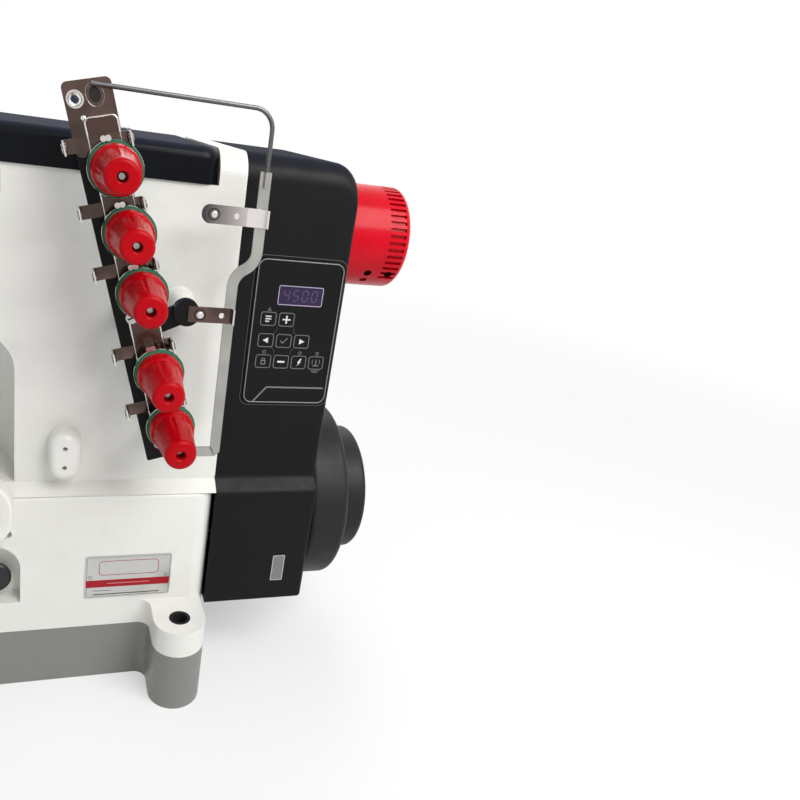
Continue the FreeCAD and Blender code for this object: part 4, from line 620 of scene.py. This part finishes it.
# One of a digit's bars: a long hexagon, lying across or standing, centred on the digit.
def segmentBar(name):
    w, h, s = display["digitWide"] / 2, display["digitTall"] / 2, display["segment"] / 2
    across = {"a": h, "g": 0.0, "d": -h}
    if name in across:
        reach = w - display["gap"]
        line = [(-reach, 0), (-reach + s, -s), (reach - s, -s), (reach, 0), (reach - s, s), (-reach + s, s)]
        return np.array(line) + (0, across[name])
    reach = h / 2 - display["gap"]
    line = [(0, -reach), (s, -reach + s), (s, reach - s), (0, reach), (-s, reach - s), (-s, -reach + s)]
    return np.array(line) + (w if name in "bc" else -w, h / 2 if name in "bf" else -h / 2)


digits = []
for place, digit in enumerate(display["digits"]):
    for bar in segmentsOn[digit]:
        outline = segmentBar(bar)
        outline = outline + np.stack([outline[:, 1] * display["slant"], 0 * outline[:, 1]], -1)
        digits.append(slab(outline + middle + ((place - 1.5) * display["pitch"], 0), display["rise"], window))
makePiece("displayDigits", digits, segmentLit)
print("control panel printed")

bandRed = plastic("plateRedBand", (0.30, 0.004, 0.012), 0.35, 900, 0.05, 0.25)
inkDark = plastic("plateInk", (0.05, 0.05, 0.05), 0.45, 900, 0.05)
platePink = plastic("plateBandLine", (0.50, 0.22, 0.22), 0.4, 900, 0.05)

# The data plate: a red band, an empty red frame and ruled lines, with nothing written on it.
dataPlate = {"band": (7.9, 13.4), "bandMargins": (0.4, 0.9), "inset": 0.8, "corner": 0.8, "line": 0.25,
             "ruled": (2.4, 5.2), "ruledWide": (0.75, 0.4), "ruledReach": ((5, 48), (5, 17)),
             "frame": (38, 10.5), "frameUp": 22.4, "frameLine": 0.4, "frameCorner": 2.4, "bandLine": (14, 41),
             "bandLineWide": 0.5, "bandRise": 0.05, "lineRise": 0.04, "bandLineRise": 0.03}
d = dataPlate
low, high = boxOf("name_plate")
x0, x1, z0, face = low[0], high[0], low[2], low[1]
bandLow, bandHigh = z0 + np.array(d["band"])
bandLeft, bandRight = x0 + d["bandMargins"][0], x1 - d["bandMargins"][1]
stripe = np.array([(bandLeft, bandLow), (bandRight, bandLow), (bandRight, bandHigh), (bandLeft, bandHigh)])


# A level line on the plate, from one place across to another, at a height over the plate's lower edge.
def plateLine(start, end, up, wide, high, face):
    return band(np.array([(x0 + start, z0 + up), (x0 + end, z0 + up)]), wide, high, face, False)


lineRise = d["lineRise"]
border = frontLoop(low, high, d["inset"], d["corner"], 3)
ruled = [plateLine(*reach, up, wide, lineRise, face)
         for up, wide, reach in zip(d["ruled"], d["ruledWide"], d["ruledReach"])]
emptyFrame = roundedLoop(((x0 + x1) / 2, z0 + d["frameUp"]), *d["frame"], d["frameCorner"])
bandLine = plateLine(*d["bandLine"], sum(d["band"]) / 2, d["bandLineWide"],
                     d["bandLineRise"], face - d["bandRise"])
makePiece("plateBand", [slab(stripe, d["bandRise"], face)], bandRed)
makePiece("plateLines", [band(border, d["line"], lineRise, face)] + ruled, inkDark)
makePiece("plateFrame", [band(emptyFrame, d["frameLine"], lineRise, face)], bandRed)
makePiece("plateBandLine", [bandLine], platePink)

# A fine border on the cover's label.
coverLabel = {"inset": 0.4, "corner": 0.6, "line": 0.35, "rise": 0.04}
low, high = boxOf("cover_label")
edge = frontLoop(low, high, coverLabel["inset"], coverLabel["corner"], 3)
makePiece("labelBorder", [band(edge, coverLabel["line"], coverLabel["rise"], low[1])], printBright)
print("plates printed")

# The thread unit stands on a tilted board; places on it are (across, down) from its top left corner.
board = {"corner": (83.2, 371.4), "tilt": math.radians(15.2), "front": -100.0, "postAcross": 17,
         "posts": (40, 72, 104, 150, 184), "screws": ((9, 118), (9, 196)), "screwTurns": (0.5, 1.9),
         "screwRadius": 3.2, "screwRise": 1.6}
unitPlate = {"left": 6.8, "right": 23.7, "top": 14.8, "step": 33.0, "bottom": 177.0, "corner": 2.6,
             "thick": 0.6, "topPlate": 1.0, "trim": 0.95, "trimRise": 0.35, "nub": 1.5,
             "nubRise": 1.6}
ahead = np.array([0, -1.0, 0])   # out of the board, towards the front


# Places on the board turned by its tilt, as points in the plane of x and z.
def onBoard(points):
    points = np.array(points, float)
    cosine, sine = math.cos(board["tilt"]), math.sin(board["tilt"])
    return np.stack([board["corner"][0] + points[:, 0] * cosine + points[:, 1] * sine,
                     board["corner"][1] + points[:, 0] * sine - points[:, 1] * cosine], -1)


# the unit plate's flats carry a darker painted brown reflection
plateSteel = guidePlates("unitPlateSteel", -0.1022, (0.105, 0.058, 0.050))
trimSteel = metal("trimSteel", (0.66, 0.645, 0.62), 0.2, (1, 1, 0.05), 0.15)
nubSteel = metal("screwSteel", (0.68, 0.675, 0.66), 0.2, (1, 0.05, 1), 0.15)
# dark, for the painted shade in screw slots and sockets and round the guides' screw heads
slotShade = plastic("screwSlotShade", (0.012, 0.012, 0.012), 0.6, 1500, 0.2, 0.2)
grommetDark = plastic("grommetDark", (0.010, 0.008, 0.008), 0.5, 900, 0.1, 0.25)
rimSteel = metal("bushRimSteel", (0.26, 0.235, 0.22), 0.25, (1, 1, 0.05), 0.2)
endSteel = metal("guideEndSteel", (0.74, 0.70, 0.68), 0.25, (0.05, 1, 1), 0.15)
eyeletBlue = plastic("eyeletCentre", (0.012, 0.014, 0.045), 0.35, 900, 0.05, 0.3)


# The outline of the plate's head, moved in by inset: two quarter circles join its sides to its top.
def headOutline(inset):
    left, right, top = unitPlate["left"] + inset, unitPlate["right"] - inset, unitPlate["top"] + inset
    bend = unitPlate["corner"]
    leftBend = arc((left + bend, top + bend), bend, 180, 270, 7)
    rightBend = arc((right - bend, top + bend), bend, 270, 360, 7)
    return np.concatenate([[(left, unitPlate["step"])], leftBend, rightBend, [(right, unitPlate["step"])]])


left, right, step = unitPlate["left"], unitPlate["right"], unitPlate["step"]
tail = [(left, unitPlate["bottom"]), (left, step), (right, step), (right, unitPlate["bottom"])]
headFace = board["front"] - unitPlate["topPlate"]
makePiece("unitPlate", [slab(onBoard(headOutline(0)), unitPlate["thick"], headFace),
                        slab(onBoard(tail), unitPlate["thick"], board["front"])], plateSteel)

inward, trim = unitPlate["trim"] / 2, (unitPlate["trim"], unitPlate["trimRise"])
trims = [band(onBoard(headOutline(inward)), *trim, headFace - unitPlate["thick"], False, True)]
trims += [band(onBoard([(side, unitPlate["bottom"]), (side, step)]), *trim,
               board["front"] - unitPlate["thick"], False, True) for side in (left + inward, right - inward)]
makePiece("unitPlateTrim", trims, trimSteel)


def onFace(spot, face):   # a spot on the board, as a point in space on the plane y = face
    x, z = onBoard([spot])[0]
    return np.array([x, face, z])


# The top plate: a dark oval bush in a thin ring, a blue-centred eyelet and a bright nub.
topPlate = {"bush": (15.0, 5.3), "oval": (2.8, 3.7), "rim": (4.4, 5.6), "rimWide": 0.5, "eyelet": (5.2, 6.2),
            "bushRise": 0.25, "rimRise": 0.3, "eyeletCentre": 1.56, "eyeletRise": 0.9,
            "lining": ((0, 3.35), (1.5, 3.3), (1.95, 2.9), (1.75, 2.3), (1.1, 1.75), (0.05, 1.6))}
bushPlace = onBoard([topPlate["bush"]])[0]
lean = np.array([[math.cos(board["tilt"]), math.sin(board["tilt"])],
                 [-math.sin(board["tilt"]), math.cos(board["tilt"])]])
oval = ring((0, 0), topPlate["oval"][0], 32, topPlate["oval"][1]) @ lean + bushPlace
rim = ring((0, 0), topPlate["rim"][0], 36, topPlate["rim"][1]) @ lean + bushPlace
makePiece("topPlateBush", [slab(oval, topPlate["bushRise"], headFace)], grommetDark)
makePiece("topPlateRim", [band(rim, topPlate["rimWide"], topPlate["rimRise"], headFace, domed=True)],
          rimSteel)
eyeletAt = onFace(topPlate["eyelet"], headFace)
makePiece("eyeletLining", [turned(topPlate["lining"], eyeletAt, ahead)], nubSteel)
makePiece("eyeletCentre", [dome(eyeletAt, ahead, topPlate["eyeletCentre"], topPlate["eyeletRise"])],
          eyeletBlue)
nubAt = onFace((left + 0.4, unitPlate["top"] + 0.3), headFace)
makePiece("unitPlateNub", [dome(nubAt, ahead, unitPlate["nub"], unitPlate["nubRise"])], nubSteel)

# Steel eyelets in the ears of the five thread guides: a flange on each face of the ear, round its hole.
earEyelets = {"above": 13.0, "across": (-5.05, 27.55), "forward": -106.0, "half": 0.45, "flange": 2.5,
              "proud": 0.75, "bore": 1.25}
acrossBoard = (math.cos(board["tilt"]), 0, math.sin(board["tilt"]))
half, flange, bore = earEyelets["half"], earEyelets["flange"], earEyelets["bore"]
wall = half + earEyelets["proud"]
outerHalf = [(wall, bore + 0.3), (wall + 0.01, flange - 0.5), (wall - 0.4, flange), (half, flange - 0.1)]
eyeletProfile = [(-along, radius) for along, radius in outerHalf] + outerHalf[::-1]
eyelets, boreShades = [], []
for down in board["posts"]:
    for across in earEyelets["across"]:
        forward = earEyelets["forward"] - (unitPlate["topPlate"] if down == board["posts"][0] else 0)
        centre = onFace((across, down - earEyelets["above"]), forward)
        eyelets.append(turned(eyeletProfile, centre, acrossBoard, 24))
        # a dark plug fills each eyelet's hole: painted shade
        boreShades.append(turned([(-wall - 0.05, bore), (wall + 0.05, bore)], centre, acrossBoard, 16))
makePiece("earEyelets", eyelets, finishes["polished_steel"])
makePiece("earEyeletBoreShade", boreShades, grommetDark)

# The tension knobs: a skirt, then a fluted taper with a rounded tip, a hole for the post and a cup behind.
knob = {"start": 9.8, "skirt": (12.3, 12.6, 12.1), "skirtLong": 8.2, "waist": 11.1, "tip": 8.6, "long": 37.0,
        "tipRound": 2.4, "hole": 2.6, "holeDeep": 6.0, "bore": 2.05, "cup": 8.0, "cupRadius": 8.8, "rows": 12,
        "steps": 144, "flute": 0.45}
taper = np.linspace(0, 1, knob["rows"])
bodyLong = knob["long"] - knob["tipRound"]
bodyRows = np.stack([knob["skirtLong"] + 0.7 + taper * (bodyLong - knob["skirtLong"] - 0.7),
                     knob["waist"] + taper * (knob["tip"] - knob["waist"])], -1)
tipRows = arc((bodyLong, knob["tip"] - knob["tipRound"]), knob["tipRound"], 90, 0, 6)[1:]
skirtFoot, skirtMiddle, skirtTop = knob["skirt"]
knobRows = np.concatenate([
    [(knob["cup"], knob["bore"]), (knob["cup"], knob["cupRadius"]), (0, knob["cupRadius"]),
     (0, skirtFoot - 0.9), (0.3, skirtFoot - 0.2), (1.1, skirtMiddle), (knob["skirtLong"] - 0.7, skirtTop),
     (knob["skirtLong"], skirtTop - 0.35), (knob["skirtLong"] + 0.4, knob["waist"] + 0.1)],
    bodyRows, tipRows,
    [(knob["long"], knob["hole"] + 0.5), (knob["long"] - 0.4, knob["hole"]),
     (knob["long"] - knob["holeDeep"], knob["hole"]), (knob["long"] - knob["holeDeep"], knob["bore"])]])
fluteDepths = np.zeros(len(knobRows))   # the flutes fade out towards the tip
fluteDepths[9:9 + len(bodyRows)] = knob["flute"] * (1 - taper) ** 0.7
postPlaces = [onFace((board["postAcross"], down), board["front"]) for down in board["posts"]]
for number, place in enumerate(postPlaces, 1):
    form = turnedRing(knobRows, place + ahead * knob["start"], ahead, knob["steps"], fluteDepths)
    piece = makePiece(f"tensionKnob{number}", [form], finishes["red_plastic"],
                      f"knob_{number}")
    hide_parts(f"tension_knob_{number}")

# The five posts: a collar on the board, then a stud that ends deep in the knob's hole.
postRod = {"collar": 6.0, "collarThick": 2.0, "radius": 2.0, "long": 41.6}
postRows = [(0, postRod["collar"]), (postRod["collarThick"] - 0.3, postRod["collar"]),
            (postRod["collarThick"], postRod["collar"] - 0.3), (postRod["collarThick"], postRod["radius"]),
            (postRod["long"] - 0.5, postRod["radius"]), (postRod["long"], postRod["radius"] - 0.5)]
posts = [turned(postRows, place, ahead, 24) for place in postPlaces]
postPiece = makePiece("tensionPosts", posts, ownFinish["tension_posts"])
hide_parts("tension_posts")

# The board behind them, with nearly square corners.
boardPlate = {"wide": 24.0, "long": 206.0, "thick": 1.5, "corner": 1.2}
plateLoop = roundedLoop((boardPlate["wide"] / 2, boardPlate["long"] / 2), boardPlate["wide"],
                        boardPlate["long"], boardPlate["corner"])
platePiece = makePiece("tensionBoard", [slab(onBoard(plateLoop), boardPlate["thick"],
                                             board["front"] + boardPlate["thick"])],
                       finishes[slotOf["tension_plate"]])
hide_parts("tension_plate")

# The wide rims of the five front discs, round the felt washers.
cupRim = {"inner": 12.9, "outer": 14.1, "back": 7.1, "slope": 0.49, "thick": 0.8}
inner, outer, back, thick = (cupRim[key] for key in ("inner", "outer", "back", "thick"))
lifted = back + (outer - inner) * cupRim["slope"]
rimProfile = [(back, inner), (lifted, outer - 0.15), (lifted + 0.2, outer), (lifted + thick - 0.2, outer),
              (lifted + thick, outer - 0.15), (back + thick, inner)]
rims = [turnedRing(rimProfile, place, ahead, 64) for place in postPlaces]
makePiece("discRims", rims, ownFinish["tension_discs"])

# The guide rail: a round wire that bends down at the right, and a flat strip set over by two equal arcs.
railPath = {"left": 97.0, "right": 189.0, "height": 375.0, "wireEnd": 336.0, "wireRadius": 1.25, "bend": 10.0,
            "wireFace": -102.25, "top": 344.0, "inner": 177.0, "jogMiddle": 291.0, "jogTurn": 60,
            "cut": 1.2, "bottom": 179.0, "end": 148.0, "wide": 6.0, "thick": 1.5}
r = railPath
wireBend = arc((r["right"] - r["bend"], r["height"] - r["bend"]), r["bend"], 90, 0, 12)
wireLine = np.concatenate([[(r["left"], r["height"])], wireBend,
                           [(r["right"], r["wireEnd"])]])
shift = r["right"] - r["inner"]
jogRadius = shift / (2 * (1 - math.cos(math.radians(r["jogTurn"]))))
jogRise = jogRadius * math.sin(math.radians(r["jogTurn"]))
upperArc = arc((r["right"] - jogRadius, r["jogMiddle"] + jogRise), jogRadius, 0, -r["jogTurn"], 10)
lowerArc = np.array([2 * r["inner"] + shift, 2 * r["jogMiddle"]]) - upperArc[::-1]
stripLine = np.concatenate([[(r["right"], r["top"])], upperArc, lowerArc[1:],
                            [(r["inner"], r["bottom"] + r["cut"]),
                             (r["inner"] - r["cut"], r["bottom"]),
                             (r["end"], r["bottom"])]])
wireTube = band(wireLine, 2 * r["wireRadius"], r["wireRadius"], r["wireFace"], False,
                whole=True)
strip = band(stripLine, r["wide"], r["thick"], board["front"], False)
railPiece = makePiece("guideRail", [wireTube, strip], ownFinish["guide_rail"])
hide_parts("guide_rail")

# The squared right end of the upper guide, with its lip bent forward, and the white boss behind the bracket.
guideEnd = {"low": (180.5, -102.5, 314.8), "high": (192.2, -102.5, 324.6), "corner": 0.6, "thick": 0.3,
            "lip": 3.6, "lipThick": 0.9, "lipCorner": 0.3}
endFace = guideEnd["low"][1]
endPlate = frontLoop(guideEnd["low"], guideEnd["high"], 0, guideEnd["corner"], 3)
lipLow = (guideEnd["high"][0] - guideEnd["lipThick"], endFace, guideEnd["low"][2])
lip = frontLoop(lipLow, guideEnd["high"], 0, guideEnd["lipCorner"], 3)
makePiece("upperGuideEnd", [slab(endPlate, guideEnd["thick"], endFace), slab(lip, guideEnd["lip"], endFace)],
          endSteel)
armBoss = {"centre": (152.9, -73.0, 264.3), "radius": 7.5, "long": 22.6,
           "foot": ((0, 2.2), (1.6, 0.7), (3.4, 0))}
bossRows = [(along, armBoss["radius"] + more) for along, more in (*armBoss["foot"], (armBoss["long"], 0))]
makePiece("armBoss", [turned(bossRows, armBoss["centre"], ahead, 40)], finishes["white_paint"])

# Painted shade in the board's screw slots, and domed heads ringed by painted shadow on the two rail guides.
guideScrews = {"upper": (162.5, 319.7, -102.5), "lower": (159.9, 264.3, -102.5), "rim": 3.0, "rimWide": 0.6,
               "rimRise": 0.06, "head": 2.05, "rise": 1.25}
slots = [slotBar(onFace(spot, board["front"]), ahead, board["screwRadius"], board["screwRise"], turn)
         for spot, turn in zip(board["screws"], board["screwTurns"])]
heads, rims = [], []
for x, z, face in (guideScrews["upper"], guideScrews["lower"]):
    heads.append(dome((x, face, z), ahead, guideScrews["head"], guideScrews["rise"]))
    rims.append(band(ring((x, z), guideScrews["rim"]), guideScrews["rimWide"], guideScrews["rimRise"], face))
makePiece("boardScrewSlots", slots, slotShade)
makePiece("guideScrewHeads", heads, nubSteel)
makePiece("guideScrewShadowRims", rims, slotShade)
print("thread unit dressed")

# Screws of the covers and plates: (across, up, turn of the slot) on the face named, in millimetres.
fasteners = {
    "topCoverScrews": {"face": ("top_cover", "Z", 1), "radius": 3.4, "rise": 1.1,
                       "at": ((-236, -50, 0.4), (-236, 38, 1.2), (-60, 44, 2.0), (128, 44, 0.8))},
    "sideCoverScrews": {"face": ("side_cover", "X", 1), "radius": 3.6, "rise": 1.6,
                        "at": ((-58, 214, 0.3), (40, 214, 1.7), (46, 336, 0.9), (-62, 336, 2.4))},
    "faceCoverScrews": {"face": ("face_cover", "X", -1), "radius": 3.6, "rise": 1.6,
                        "at": ((-56, 322, 0.6), (46, 322, 1.9), (-56, 220, 2.6), (46, 220, 0.2))},
    "clothPlateScrews": {"face": ("cloth_plate", "Z", 1), "radius": 3.4, "rise": 0.25,
                         "at": ((-120, -66, 0.4), (-20, -66, 1.3), (-120, 66, 2.2), (10, 70, 0.9),
                                (-232, 62, 1.6), (-232, -64, 0.1))},
    "needlePlateScrews": {"face": ("needle_plate", "Z", 1), "radius": 2.8, "rise": 0.2,
                          "at": ((-243, -38, 0.7), (-167, -38, 2.1), (-167, 23, 1.1))},
    "motorCapScrews": {"face": ("motor_cap", "X", 1), "radius": 2.8, "rise": 1.4,
                       "at": ((-10.8, 142, 0.0), (21.2, 86.5, 1.0), (-42.8, 86.5, 2.0))},
}
darkScrew = metal("darkScrewSteel", (0.11, 0.11, 0.112), 0.3, (1, 0.05, 1), 0.3)
darkHeads = ("topCoverScrews", "sideCoverScrews", "motorCapScrews")
allSlots = []
for name, screws in fasteners.items():
    node, letter, sign = screws["face"]
    low, high = boxOf(node)
    index = "XYZ".index(letter)
    level = (high if sign > 0 else low)[index]
    along = np.eye(3)[index] * sign
    heads = []
    for across, up, turn in screws["at"]:
        centre = np.array([across, up, level]) if letter == "Z" else np.array([level, across, up])
        heads.append(dome(centre, along, screws["radius"], screws["rise"]))
        allSlots.append(slotBar(centre, along, screws["radius"], screws["rise"], turn))
    makePiece(name, heads, darkScrew if name in darkHeads else nubSteel)
# the slots are dark bars: painted shade
makePiece("coverScrewSlots", allSlots, slotShade)
print("cover screws set")

# The handwheel's centre screw, a pale mark on its rim, and painted shade for the sockets of its two set
# screws.
hub = {"centre": (305.0, -10.8, 304.0), "radius": 6.0, "rise": 4.0, "washer": 10.5, "washerRise": 1.2}
outward = np.array([1.0, 0, 0])   # along the shaft, to the right
washer = turned([(-0.2, hub["washer"]), (hub["washerRise"] - 0.3, hub["washer"]),
                 (hub["washerRise"], hub["washer"] - 0.3)], hub["centre"], outward)
head, socket = socketHead(hub["centre"] + outward * hub["washerRise"], outward, hub["radius"], hub["rise"])
makePiece("wheelCentreScrew", [washer, head], darkScrew, "upper_shaft_set")
# the six-sided socket is a dark solid: painted shade
makePiece("wheelCentreSocket", [socket], slotShade, "upper_shaft_set")

marks = {"axis": (-10.8, 304.0), "radius": 34.5, "from": 262.0, "to": 268.5, "wide": 1.1, "turn": -52,
         "sockets": (286.2, 301.5), "socketTurn": -128, "socketRadius": 2.7, "socketSunk": 0.6,
         "socketLong": 0.66}


# A thin strip wrapped on the wheel: x runs along it, and the angle a little to each side of its turn.
def rimMark():
    x = np.linspace(marks["from"], marks["to"], 3)
    t = math.radians(marks["turn"]) + np.array([-0.5, -0.5, 0.5, 0.5]) * marks["wide"] / marks["radius"]
    r = marks["radius"] + np.array([-0.1, 0.06, 0.06, -0.1])
    y, z = marks["axis"][0] + r * np.sin(t), marks["axis"][1] + r * np.cos(t)
    corners = np.stack([np.repeat(x[:, None], 4, 1), np.repeat(y[None], 3, 0), np.repeat(z[None], 3, 0)], -1)
    return corners, capped(3, 4)


# A shallow dark button standing out of the wheel's side, along the spoke at its turn from straight up.
def rimSocket(x):
    turn = math.radians(marks["socketTurn"])
    spoke = np.array([0, math.sin(turn), math.cos(turn)])
    foot = np.array([x, *marks["axis"]]) + spoke * (marks["radius"] - marks["socketSunk"])
    return turned([(0, marks["socketRadius"]), (marks["socketLong"], marks["socketRadius"])], foot, spoke, 28)


makePiece("wheelMark", [rimMark()], printBright, "upper_shaft_set")
# the set screws' sockets are dark buttons: painted shade
holeShade = plastic("setScrewHoleShade", (0.010, 0.001, 0.001), 0.9, 900, 0.1, 0.0)
makePiece("wheelSetScrews", [rimSocket(x) for x in marks["sockets"]], holeShade,
          "upper_shaft_set")
print("handwheel dressed")

# A pale floor that keeps the object's shadow, white all round, soft lamps and a camera near the photograph's.
stage = {"floorSize": 60.0, "floorColour": (0.82, 0.82, 0.82), "nearFade": 0.5, "farFade": 1.6,
         "shadowKept": 0.55, "worldLevel": 0.40, "lampsLookAt": (0.05, 0, 0.18)}

floorMesh = bpy.data.meshes.new("floor")
half = stage["floorSize"] / 2
floorMesh.from_pydata([(-half, -half, 0), (half, -half, 0), (half, half, 0), (-half, half, 0)], [],
                      [(0, 1, 2, 3)])
floor = bpy.data.objects.new("floor", floorMesh)
bpy.context.scene.collection.objects.link(floor)

ground = Finish("paleFloor", stage["floorColour"], 0.8)
away = ground.add("ShaderNodeVectorMath", {0: ground.where}, operation="LENGTH").outputs["Value"]
openFloor = ground.spread(away, stage["nearFade"], stage["farFade"], 1 - stage["shadowKept"], 1.0)
glow = ground.add("ShaderNodeEmission", {"Color": (1, 1, 1, 1), "Strength": 1.0})
mixed = ground.add("ShaderNodeMixShader", {0: ground.times(ground.directRays(), openFloor),
                                           1: ground.shader.outputs[0], 2: glow.outputs[0]})
ground.join(mixed.outputs[0], ground.tree.nodes["Material Output"].inputs["Surface"])
floorMesh.materials.append(ground.material)

world = bpy.data.worlds.new("studio")
bpy.context.scene.world = world
world.use_nodes = True
sky = Graph(world.node_tree)
background = sky.tree.nodes["Background"]
sky.join((1, 1, 1, 1), background.inputs["Color"])
sky.join(sky.spread(sky.directRays(), 0.0, 1.0, stage["worldLevel"]), background.inputs["Strength"])

lamps = {
    "keyLamp": {"at": (0.62, -0.78, 1.08), "size": 0.8, "power": 16},
    "fillLamp": {"at": (-1.35, -0.95, 0.75), "size": 0.8, "power": 1.4},
    "backLamp": {"at": (0.25, 1.2, 1.3), "size": 1.2, "power": 12},
}
for name, lamp in lamps.items():
    light = bpy.data.lights.new(name, "AREA")
    light.energy, light.size = lamp["power"], lamp["size"]
    holder = bpy.data.objects.new(name, light)
    holder.location = lamp["at"]
    aim = Vector(stage["lampsLookAt"]) - Vector(lamp["at"])
    holder.rotation_euler = aim.to_track_quat("-Z", "Y").to_euler()
    bpy.context.scene.collection.objects.link(holder)

eye = {"at": (78.3, -492.1, 368), "turn": 19.84, "tilt": 20.39, "roll": 8.18, "focal": 727, "frame": 800,
       "shift": 0.14, "sensor": 36, "nearest": 0.01}
cameraData = bpy.data.cameras.new("camera")
cameraData.sensor_width = eye["sensor"]
cameraData.lens = eye["focal"] / eye["frame"] * eye["sensor"]   # the focal length and the frame are in pixels
cameraData.shift_x = eye["shift"]
cameraData.clip_start = eye["nearest"]
camera = bpy.data.objects.new("camera", cameraData)
bpy.context.scene.collection.objects.link(camera)
camera.matrix_world = (Matrix.Translation(Vector(eye["at"]) * mm)
                       @ Matrix.Rotation(-math.radians(eye["turn"]), 4, "Z")
                       @ Matrix.Rotation(math.radians(90 - eye["tilt"]), 4, "X")
                       @ Matrix.Rotation(math.radians(eye["roll"]), 4, "Z"))
bpy.context.scene.camera = camera
bpy.context.scene.view_settings.view_transform = "Standard"
print("stage, lamps and camera set")
